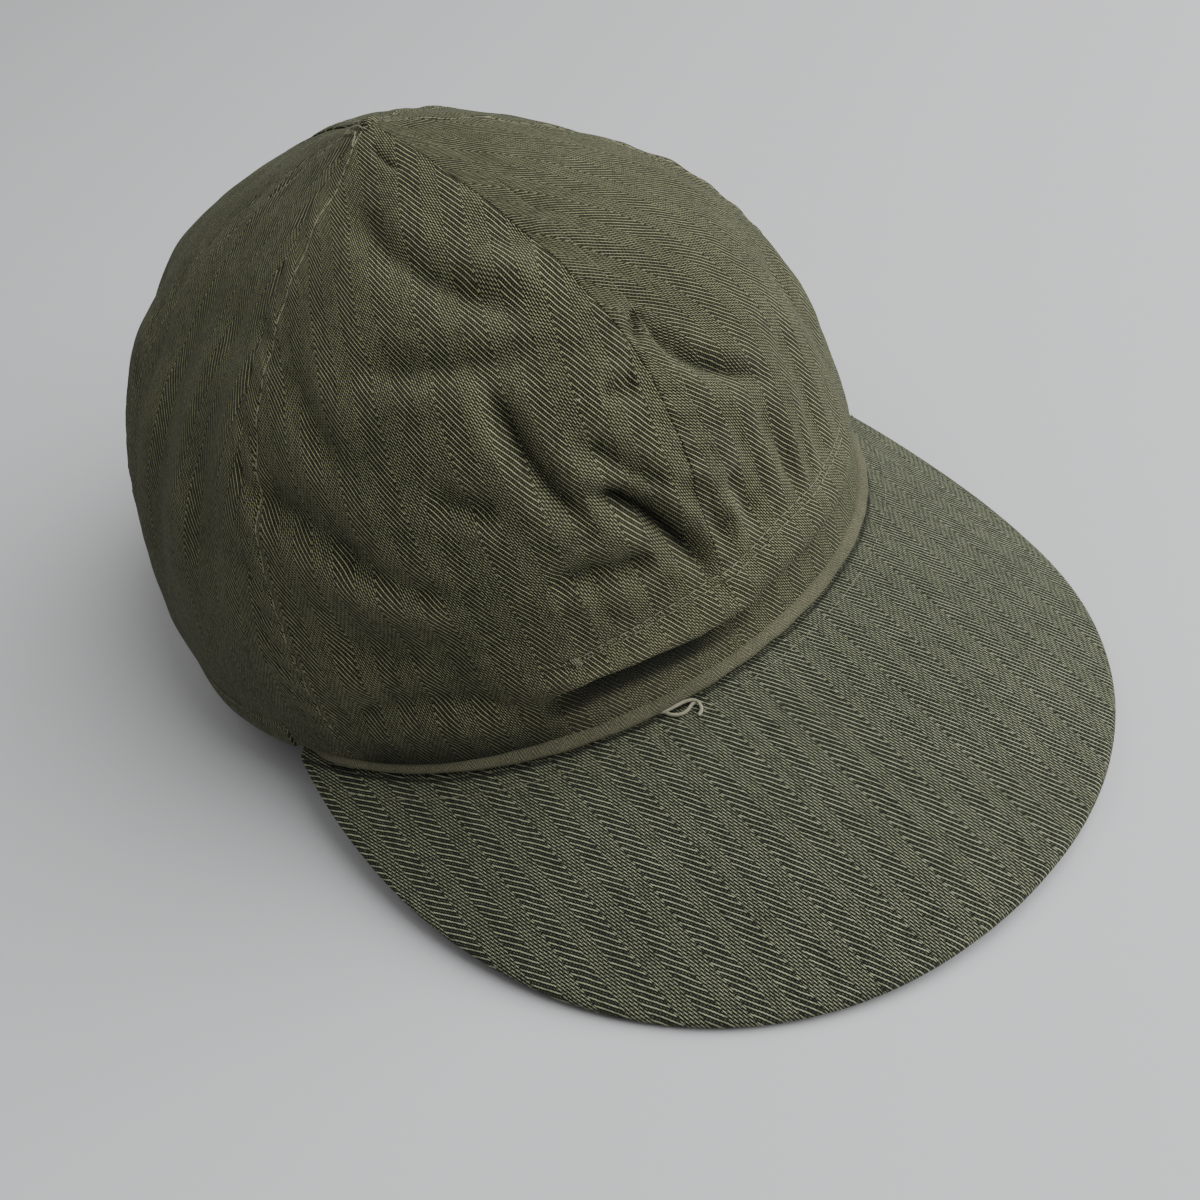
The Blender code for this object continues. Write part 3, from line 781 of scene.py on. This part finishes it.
panelValues = {
    "wall": 0.0006,
    "top": 0.978,
    "rows": 118,
    "columns": 74,
    "frontColumns": 116,
    # the felled strip beside a seam, as distances from the seam and heights
    "strip": (0.0, 0.00008, 0.00030, 0.0008, 0.0016, 0.0026, 0.0036, 0.0046, 0.0050, 0.0053,
              0.0056, 0.0060, 0.0066, 0.0076, 0.0092),
    "stripLift": (-0.00020, 0.00004, 0.00018, 0.00026, 0.00028, 0.00032, 0.00036, 0.00032,
                  0.00024, 0.00004, -0.00006, 0.00004, 0.00018, 0.00012, 0.0),
    "stitchPlace": 0.0055,
    "stripShare": 0.3,  # most of a panel's width that a strip takes near the top
    "stripLow": (0.9, 1.5),  # in rises of the hem
    "stripTop": (0.0, 0.10),
    "flatSeam": 0.4,
    "flatStarts": (0.0, -122.0),
    "frontAngle": 60.0,
    "tuckFlattens": 0.6,
    "weltShade": ((-63, 0.0), (-56, 0.9), (-32, 0.9), (-25, 0.3), (-18, 0.0)),
    "weltShadeWide": 0.042,
    "under": (0.0040, 0.0025, 0.0010, 0.0, -0.0008, -0.0018),
    "underLift": (-0.00044, -0.00040, -0.00034, -0.00022, -0.00010, -0.00002),
    "rubRelief": 0.00012,
    "rub": 0.35,
    "lowRub": 0.30,
    "lowRubRises": (0.05, 0.30),
    "lowRubCentre": 4.0,
    "lowRubAngles": (20.0, 50.0),
    "rollRubBandLight": ((0.50, 0.11, 0.45, 3.0), (0.10, 0.07, 0.6, 0.0)),  # rub on the tuck's roll, then painted light on the band below the crease: step, width, share, angle
}


def stripScale(width):
    return np.minimum(1.0, panelValues["stripShare"] * width / cap["seamWidth"])


def stripFade(rise):
    low, high = panelValues["stripLow"]
    above = smooth(rise, hemRise * low, hemRise * high)
    return above * smooth(panelValues["top"] - rise, *panelValues["stripTop"])


def crownPanel(name, first, last, lapFirst, lapLast, grain, offset, values):
    centre = (first + last) / 2.0
    tuckTop = tuck["top"] / 1000.0
    lowSteps = np.linspace(0.0, 1.0, tuck["steps"])
    lowRise = np.interp(lowSteps * tuck["top"] / 1000.0, arcLength, arcRise)
    fine = np.linspace(lowRise[-1], values["top"], 2001)
    points = dome(np.full(2001, centre), fine)
    length = runLength(points)
    highArcs = np.linspace(0.0, length[-1], values["rows"])[1:]
    rises = np.concatenate([lowRise, np.interp(highArcs, length, fine)])
    arcs = np.concatenate([lowSteps * tuck["top"] / 1000.0, highArcs + tuckTop])
    degree = arcPerDegree(np.full(len(rises), centre), np.maximum(rises, 0.01))
    width = (last - first) * degree
    scale = stripScale(width)[:, None]
    shown = stripFade(rises)[:, None]

    def edge(lapped):
        key, lift = ("strip", "stripLift") if lapped else ("under", "underLift")
        sign = 1.0 if lapped else -1.0
        places = sign * np.array(values[key])[None] * scale
        return places, np.array(values[lift])[None] * shown

    startEdge, startLift = edge(lapFirst)
    endEdge, endLift = edge(lapLast)
    startLift = startLift * (values["flatSeam"] if first in values["flatStarts"] else 1.0)
    endLift = endLift * (values["flatSeam"] if last == 0.0 else 1.0)
    inFront = abs(centre) < values["frontAngle"]
    inside = values["frontColumns"] if inFront else values["columns"]
    share = np.linspace(0.0, 1.0, inside + 2)[1:-1][None]
    innerFrom, innerTo = startEdge[:, -1:], width[:, None] - endEdge[:, -1:]
    inner = innerFrom + (innerTo - innerFrom) * share
    places = np.concatenate([startEdge, inner, (width[:, None] - endEdge)[:, ::-1]], axis=1)
    lifts = np.concatenate([startLift, np.zeros_like(inner), endLift[:, ::-1]], axis=1)
    angles = first + places / degree[:, None]
    across = places - width[:, None] / 2.0
    rows, columns = angles.shape
    riseGrid = np.repeat(rises[:, None], columns, axis=1)
    arcGrid = np.repeat(arcs[:, None], columns, axis=1)
    folded = np.zeros_like(riseGrid)
    steps = np.repeat(lowSteps[:, None], columns, axis=1)
    count = tuck["steps"]
    if inFront:
        riseGrid[:count], folded[:count] = tuckSection(angles[:count], steps)
        amount = fromTable(tuck["amount"], angles[:count])
        lifts[:count] *= 1.0 - values["tuckFlattens"] * amount
        path = np.stack([np.interp(riseGrid[:count], arcRise, arcLength), folded[:count]], -1)
        run = np.cumsum(np.linalg.norm(np.diff(path, axis=0), axis=-1), axis=0)
        used = np.concatenate([np.zeros((1, columns)), run])
        arcGrid[:count] = used - used[-1:] + tuckTop
    flat, rise = angles.ravel(), riseGrid.ravel()
    relief, valleyShade = crownRelief(flat, rise)
    normal = domeNormal(flat, rise)
    total = relief + lifts.ravel() + folded.ravel()
    points = dome(flat, rise) + normal * total[:, None]
    uv = turnCloth(across.ravel() * 1000.0, arcGrid.ravel() * 1000.0, grain, offset)
    # what stands out over its neighbours is rubbed paler
    high = total.reshape(rows, columns)
    around = high[:-4, 2:-2] + high[4:, 2:-2] + high[2:-2, :-4] + high[2:-2, 4:]
    middle = np.zeros((rows, columns))
    middle[2:-2, 2:-2] = high[2:-2, 2:-2] - around / 4.0
    rub = np.clip(middle.ravel() / values["rubRelief"], 0.0, 1.0) * values["rub"]
    turned = (flat + 180.0) % 360.0 - 180.0
    aside = np.abs(turned - values["lowRubCentre"])
    low = 1.0 - smooth(rise, *values["lowRubRises"])
    low *= 1.0 - smooth(aside, *values["lowRubAngles"])
    rub = np.clip(rub + values["lowRub"] * low, 0.0, 1.0)
    if inFront:
        shade = fromTable(values["weltShade"], turned)
        valleyShade = np.maximum(valleyShade, shade * np.exp(-(rise / values["weltShadeWide"]) ** 2))
        roll, dark = np.zeros_like(riseGrid), np.zeros_like(riseGrid)
        # rub on the tuck's roll, and painted light on the band below the crease where the roll's
        # shadow falls
        for at, wide, share, aside in values["rollRubBandLight"]:
            band = share * np.exp(-((steps - at) / wide) ** 2)
            roll[:count] += band * fromTable(tuck["shadeLightAndRubSpan"], angles[:count] + aside)
        rub = np.clip(rub + roll.ravel(), 0.0, 1.0)
        # painted shade in the crease under the tuck's roll
        dark[:count] = np.exp(-((steps - tuck["creaseShadeAt"]) / tuck["creaseShadeWide"]) ** 4)
        dark[:count] *= fromTable(tuck["shadeLightAndRubSpan"], angles[:count])
        valleyShade = np.maximum(valleyShade, dark.ravel())
    marks = {"rub": rub, "valleyShade": valleyShade}
    item = makeMesh(name, toRow(points), gridFaces(rows, columns), uv, marks)
    thicken(item, values["wall"])
    return item


# name, first and last seam, which of them is lapped, grain and offset of the weave, CAD nodes
panels = (
    ("crownPanelFrontRight", -65.0, 0.0, 1, 0, -1.0, 0.0, ("crown_panel_front_right",)),
    ("crownPanelFrontLeft", 0.0, 65.0, 1, 1, -5.0, 31.0, ("crown_panel_front_left", "front_tuck")),
    ("crownPanelSideRight", -122.0, -65.0, 1, 0, 0.0, 17.0, ("crown_panel_side_right",)),
    ("crownPanelSideLeft", 65.0, 122.0, 0, 1, 0.0, 53.0, ("crown_panel_side_left",)),
    ("crownPanelBackRight", -180.0, -122.0, 0, 0, 0.0, 71.0, ("crown_panel_back_right",)),
    ("crownPanelBackLeft", 122.0, 180.0, 0, 1, 0.0, 89.0, ("crown_panel_back_left",)),
)
for name, first, last, lapFirst, lapLast, grain, offset, nodes in panels:
    piece = crownPanel(name, first, last, lapFirst, lapLast, grain, offset, panelValues)
    fixPiece(piece, crownCloth, "crown_cloth", *nodes)
    print(name, "ready")

visorValues = {
    "columns": 170,
    "rows": 66,
    "edgeSteps": 8,
    "edgeRadius": 0.0011,
    "edgeRun": 1.6,
    "edgeMost": 0.4,
    "edgeDarker": (0.3, 0.5),  # darker colour on the turned edge and the underside: depth as a share of the thickness, then the strength
    "sideSpread": 0.93,  # below 1 keeps the last columns from closing up at the ends
    "rootFiner": 1.3,
    "shadeLineAt": 0.0032,  # painted shade line beside the welt
    "shadeLineWide": 0.0005,
    "grain": 5.0,
    "waveSize": 0.03,
    "waviness": 0.00018,
    "underWave": 0.5,
    "underFrom": 0.75,
    "underShift": 7.0,
}


def visorSurface(share, reach):
    rootX, rootAhead = rimPlan(endAngle * share, -cap["cloth"])
    edgeX, edgeAhead = visorPlan(endTurn * share)
    x = rootX + (edgeX - rootX) * reach
    forward = rootAhead + (edgeAhead - rootAhead) * reach
    return np.stack([x, -forward, visorHeight(x, forward) - visorLast], axis=-1)


def visorNormal(x, forward):
    step = 0.0005
    across = visorHeight(x + step, forward) - visorHeight(x - step, forward)
    ahead = visorHeight(x, forward + step) - visorHeight(x, forward - step)
    slopeX, slopeY = across / (2 * step), ahead / (2 * step)
    normal = np.stack([-slopeX, slopeY, np.ones_like(slopeX)], axis=-1)
    return normal / np.linalg.norm(normal, axis=-1, keepdims=True)


def makeVisor(values):
    thick = cap["visorThickness"]
    radius = values["edgeRadius"]
    columns, rows = values["columns"], values["rows"]
    spread = values["sideSpread"]
    share = np.sin(np.linspace(-1.0, 1.0, columns) * math.pi / 2.0 * spread)
    share = share / math.sin(math.pi / 2.0 * spread)
    root, edge = visorSurface(share, 0.0), visorSurface(share, 1.0)
    span = np.linalg.norm(edge - root, axis=-1)
    inward = np.minimum(radius * values["edgeRun"] / span, values["edgeMost"])
    levels = np.linspace(0.0, 1.0, rows) ** values["rootFiner"]
    sections, depths = [], []
    for level in levels:
        sections.append((1.0 - inward) * level)
        depths.append(0.0)
    for step in range(1, values["edgeSteps"]):
        turn = math.pi * step / values["edgeSteps"]
        sections.append(1.0 - inward + inward * math.sin(turn))
        depths.append(thick / 2.0 * (1.0 - math.cos(turn)))
    for level in levels[::-1]:
        sections.append((1.0 - inward) * level)
        depths.append(thick)
    grid, uv = [], []
    for reach, depth in zip(sections, depths):
        points = visorSurface(share, reach)
        normal = visorNormal(points[:, 0], -points[:, 1])
        wave = waveNoise(points, values["waveSize"], 4) * values["waviness"]
        wave = wave * (1.0 if depth == 0.0 else values["underWave"])
        grid.append(points - normal * (depth - wave)[:, None])
        uv.append(points[:, :2])
    grid, uv = np.array(grid), np.array(uv)
    count = len(sections)
    points = grid.reshape(-1, 3)
    x, back = uv[..., 0].ravel() * 1000.0, uv[..., 1].ravel() * 1000.0
    under = np.array(depths) >= thick * values["underFrom"]
    side = np.repeat(np.where(under, values["underShift"], 0.0), columns)
    cloth = turnCloth(x, back, values["grain"], side)
    faces = gridFaces(count, columns)[:, ::-1].tolist()
    index = np.arange(count * columns).reshape(count, columns)
    for c in range(columns - 1):
        faces.append([index[0, c], index[0, c + 1], index[-1, c + 1], index[-1, c]])
    faces += [index[::-1, 0].tolist(), index[:, -1].tolist()]
    darkerDepth, darkerShare = values["edgeDarker"]
    # the turned edge and the underside are mixed towards the darker colour
    rub = np.repeat([smooth(d, 0.0, thick * darkerDepth) * darkerShare for d in depths], columns)
    # painted shade: a thin near-black line on the visor's top just ahead of the welt
    ahead = np.array(sections) * span[None]
    valleyShade = np.exp(-((ahead - values["shadeLineAt"]) / values["shadeLineWide"]) ** 2)
    valleyShade *= (np.array(depths) == 0.0)[:, None]
    return makeMesh("visor", toRow(points), faces, cloth, {"rub": rub, "valleyShade": valleyShade.ravel()})


visor = makeVisor(visorValues)
fixPiece(visor, visorCloth, "visor_cloth", "visor")
print("visor ready")

weltValues = {
    "diameter": 0.0026,
    "wide": 0.00188,
    "flat": 0.00125,
    "lean": 52.0,
    "back": 0.0012,
    "lift": 1.05,  # in radii
    "taper": (-0.5, 5.0),  # angles before the end
    "endSize": 0.4,
    "endDip": 0.0012,
    "slimmer": 0.45,
    "slimAngles": (20.0, 52.0),
    "uneven": 0.05,
    "unevenRun": (0.0021, 1.7, 0.009),  # length, drift, length of the drift
    "square": 0.8,
    "weaveStep": 0.42,
    "rub": (0.35, 0.4),
    "rubSize": 0.012,
    "rubOver": 0.1,
    "grain": 12.0,
    "steps": 261,
    "round": 20,
}


def makeWelt(values):
    radius = values["diameter"] / 2.0
    angle = np.linspace(-1.0, 1.0, values["steps"]) * (endAngle - 1.0)
    x, forward = rimPlan(angle, cap["gap"] + radius - values["back"])
    height = visorHeight(x, forward) - visorLast + cap["gap"] + radius * values["lift"]
    centre = np.stack([x, -forward, height], axis=-1)
    theta = np.radians(angle)
    out = np.stack([np.sin(theta) * cap["rimLength"], -np.cos(theta) * cap["rimWidth"],
                    np.zeros_like(angle)], axis=-1)
    out /= np.linalg.norm(out, axis=-1, keepdims=True)
    taper = smooth(endAngle - 1.0 - np.abs(angle), *values["taper"])
    length = runLength(centre)
    slim = 1.0 - values["slimmer"] * smooth(-angle, *values["slimAngles"])  # on the right
    pitch, drift, slow = values["unevenRun"]
    wave = 1.0 + values["uneven"] * np.sin(length / pitch + drift * np.sin(length / slow))
    endSize, square = values["endSize"], values["square"]
    thick = wave * slim * (endSize + (1.0 - endSize) * taper)
    lean = math.radians(values["lean"])
    grid, uv = [], []
    for step in range(values["round"]):
        turn = 2.0 * math.pi * step / values["round"]
        long = values["wide"] * math.copysign(abs(math.cos(turn)) ** square, math.cos(turn))
        short = values["flat"] * math.copysign(abs(math.sin(turn)) ** square, math.sin(turn))
        away = long * math.cos(lean) + short * math.sin(lean)
        up = -long * math.sin(lean) + short * math.cos(lean)
        place = centre + out * (away * thick - (1.0 - taper) * values["endDip"])[:, None]
        place[:, 2] += up * thick
        grid.append(place)
        around = np.full_like(length, step * values["weaveStep"])
        uv.append(np.stack([length * 1000.0, around], axis=-1))
    grid, uv = np.array(grid), np.array(uv)
    cloth = turnCloth(uv[..., 0].ravel(), uv[..., 1].ravel(), values["grain"])
    count, columns = grid.shape[:2]
    rubbed = waveNoise(centre, values["rubSize"], 9)[None] > values["rubOver"]
    rub = np.repeat(values["rub"][0] + values["rub"][1] * rubbed, count, axis=0)
    return makeMesh("welt", toRow(grid.reshape(-1, 3)), tubeFaces(count, columns), cloth,
                    {"rub": rub.ravel()})


welt = makeWelt(weltValues)
fixPiece(welt, weltCloth, "welt_cloth", "welt")

hemValues = {
    # the hem's outline, as height and stand-off in mm
    "section": ((1.5, -0.9), (0.2, -0.85), (-0.5, -0.45), (-0.65, 0.0), (-0.4, 0.42), (0.3, 0.66),
                (1.5, 0.74), (3.0, 0.72), (4.2, 0.60), (4.7, 0.40), (5.0, 0.22), (5.3, 0.36),
                (5.8, 0.42), (6.4, 0.12), (7.2, -0.45)),
    "steps": 420,
    "waviness": 0.00012,
    "waveSize": 0.02,
    "rimRise": 0.004,
    "normalRise": 0.03,
    "rub": 0.08,
    "stitchHeight": 0.005,
    "stitchOff": 0.0003,
}


def hemLine(count):
    start = endAngle + 1.0
    angle = np.linspace(start, 360.0 - start, count)
    angle = np.where(angle > 180.0, angle - 360.0, angle)
    rim = dome(angle, np.full(count, hemValues["rimRise"]))
    normal = domeNormal(angle, np.full(count, hemValues["normalRise"]))
    return angle, rim, normal, hemValues["waviness"] * waveNoise(rim, hemValues["waveSize"], 6)


def makeHem(values):
    angle, rim, normal, wave = hemLine(values["steps"])
    length = runLength(rim)
    grid, uv = [], []
    for high, off in values["section"]:
        rise = np.interp(max(high, 0.0) / 1000.0, arcLength, arcRise)
        place = dome(angle, np.full(len(angle), rise))
        place = place + normal * (off / 1000.0 + wave)[:, None]
        place[:, 2] += min(high, 0.0) / 1000.0
        grid.append(place)
        uv.append(np.stack([length * 1000.0, np.full_like(length, high + off)], axis=-1))
    grid, uv = np.array(grid), np.array(uv)
    rub = np.full(grid.shape[:2], values["rub"])
    return makeMesh("rimHem", toRow(grid.reshape(-1, 3)), tubeFaces(*grid.shape[:2]),
                    uv.reshape(-1, 2), {"rub": rub.ravel()})


hem = makeHem(hemValues)
fixPiece(hem, crownCloth, "crown_cloth", "rim_hem")
print("welt and hem ready")

knotValues = {
    "diameter": 0.0050,
    "height": 0.0016,
    "pleats": 6,
    "pleatDepth": 0.22,
    "pleatTurn": 0.8,
    "pleatLift": 0.25,
    "fine": (0.12, 11),  # share and count of the small pleats, then of the wobble
    "wobble": (0.12, 3),
    "drop": 0.55,
    "rub": 0.4,
    "rings": 9,
    "spokes": 36,
}


def makeKnot(values):
    top = dome(np.array(0.0), np.array(1.0))
    rings, spokes = values["rings"], values["spokes"]
    fine, wobble = values["fine"], values["wobble"]
    points, uv = [top + np.array([0.0, 0.0, values["height"] * 0.5])], [(0.0, 0.0)]
    for ring in range(1, rings):
        share = ring / (rings - 1)
        for spoke in range(spokes):
            turn = 2.0 * math.pi * spoke / spokes
            pleat = math.cos(values["pleats"] * turn + values["pleatTurn"])
            pleat = values["pleatDepth"] * pleat + fine[0] * math.sin(fine[1] * turn)
            out = values["diameter"] / 2.0 * share
            out = out * (1.0 + wobble[0] * math.sin(wobble[1] * turn + 1.0))
            crown = 0.5 * math.cos(share * math.pi / 2.0)
            crown = crown + values["pleatLift"] * pleat * share
            high = values["height"] * (crown - values["drop"] * share ** 3)
            x, y = out * math.cos(turn), out * math.sin(turn)
            points.append(top + np.array([x, y, high]))
            uv.append((x * 1000.0, y * 1000.0))
    faces = [(0, 1 + s, 1 + (s + 1) % spokes) for s in range(spokes)]
    for ring in range(rings - 2):
        base = 1 + ring * spokes
        faces += [(base + s, base + spokes + s, base + spokes + (s + 1) % spokes,
                   base + (s + 1) % spokes) for s in range(spokes)]
    base = 1 + (rings - 2) * spokes
    faces.append([base + s for s in range(spokes)][::-1])
    rub = np.full(len(points), values["rub"])
    return makeMesh("crownKnot", toRow(np.array(points)), faces, np.array(uv), {"rub": rub})


knot = makeKnot(knotValues)
fixPiece(knot, crownCloth, "crown_cloth", "crown_knot")

stitchValues = {"pitch": 0.0027, "thread": 0.00036, "share": 0.88, "uneven": 0.12}


def makeStitchTree():
    tree, given, result = newGroup(
        "stitchRow",
        [
            ("Geometry", "NodeSocketGeometry", None),
            ("Pitch", "NodeSocketFloat", 0.0026),
            ("Thread", "NodeSocketFloat", 0.0003),
            ("Stitch Share", "NodeSocketFloat", 0.86),
            ("Uneven", "NodeSocketFloat", 0.1),
            ("Seed", "NodeSocketInt", 3),
            ("Material", "NodeSocketMaterial", None),
        ],
        [("Geometry", "NodeSocketGeometry")],
        "GeometryNodeTree",
    )
    pitch, thread = given.outputs["Pitch"], given.outputs["Thread"]
    spaced = addNode(tree, "GeometryNodeCurveToPoints",
                     {"Curve": given.outputs["Geometry"], "Length": pitch}, mode="LENGTH")
    ball = addNode(tree, "GeometryNodeMeshUVSphere", {"Segments": 6, "Rings": 6, "Radius": 0.5})
    along = addNode(tree, "FunctionNodeAlignRotationToVector",
                    {"Vector": spaced.outputs["Tangent"]}, axis="Z")
    chance = addNode(tree, "FunctionNodeRandomValue", {"Seed": given.outputs["Seed"]},
                     data_type="FLOAT")
    low, high = [socket for socket in chance.inputs if socket.type == "VALUE" and socket.enabled]
    low.default_value, high.default_value = -1.0, 1.0
    spread = [socket for socket in chance.outputs if socket.enabled][0]
    size = mathNode(tree, "MULTIPLY", spread, given.outputs["Uneven"])
    long = mathNode(tree, "MULTIPLY", pitch, given.outputs["Stitch Share"])
    long = mathNode(tree, "MULTIPLY", long, mathNode(tree, "ADD", 1.0, size))
    scale = addNode(tree, "ShaderNodeCombineXYZ", {"X": thread, "Y": thread, "Z": long})
    put = addNode(tree, "GeometryNodeInstanceOnPoints", {
        "Points": spaced.outputs["Points"], "Instance": ball.outputs["Mesh"],
        "Rotation": along.outputs["Rotation"], "Scale": scale.outputs[0]})
    real = addNode(tree, "GeometryNodeRealizeInstances", {0: put.outputs[0]})
    even = addNode(tree, "GeometryNodeSetShadeSmooth", {0: real.outputs[0]})
    paint = addNode(tree, "GeometryNodeSetMaterial",
                    {"Geometry": even.outputs[0], "Material": given.outputs["Material"]})
    tree.links.new(paint.outputs[0], result.inputs[0])
    return tree


stitchTree = makeStitchTree()


def newGuide(name):
    curve = bpy.data.curves.new(name + "Path", "CURVE")
    curve.dimensions = "3D"
    guide = bpy.data.objects.new(name + "Path", curve)
    scene.collection.objects.link(guide)
    return curve, guide


def meshFrom(guide, name):
    graph = bpy.context.evaluated_depsgraph_get()
    mesh = bpy.data.meshes.new_from_object(guide.evaluated_get(graph))
    mesh.name = name
    item = bpy.data.objects.new(name, mesh)
    scene.collection.objects.link(item)
    bpy.data.objects.remove(guide)
    return item


def sew(name, paths, material, values):
    curve, guide = newGuide(name)
    for path in paths:
        line = curve.splines.new("POLY")
        line.points.add(len(path) - 1)
        places = np.concatenate([path, np.ones((len(path), 1))], axis=1)
        line.points.foreach_set("co", places.ravel())
    rows = guide.modifiers.new("stitches", "NODES")
    rows.node_group = stitchTree
    chosen = {"Pitch": values["pitch"], "Thread": values["thread"], "Seed": 11,
              "Stitch Share": values["share"], "Uneven": values["uneven"], "Material": material}
    for socket in stitchTree.interface.items_tree:
        if socket.in_out == "INPUT" and socket.name in chosen:
            rows[socket.identifier] = chosen[socket.name]
    item = meshFrom(guide, name)
    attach(item, "root")
    return item


def onCrown(angle, rise, lift):
    out = crownRelief(angle, rise)[0] + lift
    return toRow(dome(angle, rise) + domeNormal(angle, rise) * out[:, None])


seamRowValues = {"halfPanel": 32.5, "panel": 60.0}  # angles


def seamPath(seam, away, lift, low=0.07, high=0.93, count=120):
    rise = np.linspace(low, high, count)
    centre = seam + math.copysign(seamRowValues["halfPanel"], away)
    degree = arcPerDegree(np.full(count, centre), rise)
    scale = stripScale(degree * seamRowValues["panel"])
    return onCrown(seam + away * scale / degree, rise, lift)


def visorPoint(x, forward, lift):
    height = visorHeight(x, forward) - visorLast + lift
    return toRow(np.stack([x, -forward, height], axis=-1))


place = panelValues["stitchPlace"]
groove = 0.00004
rowPlaces = ((-65.0, place), (65.0, -place), (-122.0, place), (122.0, -place), (180.0, -place))
seamRows = [seamPath(seam, away, groove) for seam, away in rowPlaces]
sew("seamStitches", seamRows, seamThread, stitchValues)
sew("frontSeamStitches", [seamPath(0.0, place, -0.00002, 0.175)], shadedSeamThread,
    {**stitchValues, "thread": 0.00028})


def tuckPath(step, first, last, lift, count=140, end=None):
    angle = np.linspace(first, last, count)
    rise, off = tuckSection(angle, np.linspace(step, step if end is None else end, count))
    return onCrown(angle, rise, off + lift)


tuckRows = [tuckPath(row / 20.0, -22.5, 34.0, 0.00008) for row in (17.0, 15.0)]
sew("tuckStitches", tuckRows, seamThread, {**stitchValues, "thread": 0.00032, "share": 0.82})

# small bar of close stitches where the tuck rows stop on the right side
tackValues = {"pitch": 0.0006, "thread": 0.00038, "share": 1.1, "uneven": 0.35}
tackRows = [tuckPath(0.86, -23.2 + aside, -22.7 + aside, 0.0002, 12, 0.73)
            for aside in (0.0, 0.3, 0.6)]
sew("tuckTack", tackRows, seamThread, tackValues)

# hand-sewn threads that close the top, as rows of angle and rise
apexRows = (
    ((-112, 0.930), (-118, 0.938), (-108, 0.947), (-76, 0.953), (-44, 0.942)),
    ((-103, 0.924), (-69, 0.934), (-58, 0.917), (-53, 0.900)),
)


def apexPath(row):
    places = np.array(row, float)
    share = np.linspace(0.0, len(places) - 1.0, 24)
    angle, rise = (np.interp(share, np.arange(len(places)), places[:, i]) for i in (0, 1))
    return onCrown(angle, rise, 0.00045)


sew("apexThreads", [apexPath(row) for row in apexRows], seamThread,
    {"pitch": 0.0013, "thread": 0.00042, "share": 1.05, "uneven": 0.3})

# faint row on the visor just ahead of the welt
visorRow = {"ends": 4.0, "ahead": 0.0024, "points": 200}
visorRowLast = endAngle - visorRow["ends"]
visorRowAngle = np.linspace(-visorRowLast, visorRowLast, visorRow["points"])
visorRowOut = cap["gap"] + weltValues["diameter"] + visorRow["ahead"]
visorRowX, visorRowAhead = rimPlan(visorRowAngle, visorRowOut)
sew("visorStitches", [visorPoint(visorRowX, visorRowAhead, 0.00004)], seamThread,
    {"pitch": 0.0027, "thread": 0.00024, "share": 0.80, "uneven": 0.15})

# loose end of sewing thread that has pulled out beside the welt: x, forward and lift in mm
looseThread = {
    "upper": ((-21.6, 94.8, 0.0), (-21.2, 95.5, 0.3), (-19.7, 96.2, 0.4), (-17.9, 96.8, 0.5),
              (-16.1, 97.4, 0.5), (-14.8, 98.4, 0.5), (-14.6, 99.9, 0.5), (-15.3, 101.1, 0.4),
              (-16.4, 101.4, 0.2)),
    "lower": ((-21.5, 94.8, 0.0), (-20.9, 95.6, 0.1), (-20.3, 97.2, 0.2), (-18.8, 98.6, 0.2),
              (-17.2, 98.9, 0.2), (-15.8, 98.6, 0.2), (-14.9, 98.7, 0.2)),
    "thick": 0.00078,
}


def makeLooseThread(values):
    curve, guide = newGuide("looseThread")
    curve.bevel_depth = values["thick"] / 2.0
    curve.bevel_resolution = 3
    curve.use_fill_caps = True
    for key in ("upper", "lower"):
        rows = np.array(values[key], float) / 1000.0
        path = visorPoint(rows[:, 0], rows[:, 1], rows[:, 2] + values["thick"] / 2.0)
        line = curve.splines.new("BEZIER")
        line.bezier_points.add(len(path) - 1)
        for point, place in zip(line.bezier_points, path):
            point.co = place
            point.handle_left_type = point.handle_right_type = "AUTO"
    item = meshFrom(guide, "looseThread")
    item.data.shade_smooth()
    fixPiece(item, paleThread, "thread")


makeLooseThread(looseThread)


def hemPath(values, count=400):
    angle, rim, normal, wave = hemLine(count)
    rise = np.full(count, np.interp(values["stitchHeight"], arcLength, arcRise))
    return toRow(dome(angle, rise) + normal * (values["stitchOff"] + wave)[:, None])


sew("hemStitches", [hemPath(hemValues)], seamThread, stitchValues)
print("stitching ready")

floorValues = {"size": 30.0, "colour": (0.62, 0.63, 0.65, 1.0)}


def makeFloor(values):
    half = values["size"] / 2.0
    corners = [(-half, -half, 0), (half, -half, 0), (half, half, 0), (-half, half, 0)]
    item = makeMesh("paleFloor", corners, [(0, 1, 2, 3)], smoothed=False)
    material = bpy.data.materials.new("paleFloor")
    material.use_nodes = True
    shader = material.node_tree.nodes["Principled BSDF"]
    shader.inputs["Base Color"].default_value = values["colour"]
    shader.inputs["Roughness"].default_value = 0.7
    item.data.materials.append(material)


makeFloor(floorValues)

lights = {
    "key": {"place": (0.74, -0.62, 0.90), "size": 1.9, "power": 39.0},
    "top": {"place": (-0.15, 0.35, 1.20), "size": 1.2, "power": 2.5},
    "sky": 0.21,
    "skyColour": (1.0, 0.98, 0.95, 1.0),
}


def makeLight(name, values):
    data = bpy.data.lights.new(name, "AREA")
    data.shape = "DISK"
    data.size = values["size"]
    data.energy = values["power"]
    item = bpy.data.objects.new(name, data)
    item.location = values["place"]
    aim = Vector((0.0, 0.0, 0.05)) - Vector(values["place"])
    item.rotation_euler = aim.to_track_quat("-Z", "Y").to_euler()
    scene.collection.objects.link(item)


makeLight("keyLight", lights["key"])
makeLight("topLight", lights["top"])
world = bpy.data.worlds.new("softSky")
world.use_nodes = True
sky = world.node_tree.nodes["Background"]
sky.inputs["Color"].default_value = lights["skyColour"]
sky.inputs["Strength"].default_value = lights["sky"]
scene.world = world
print("floor and light ready")
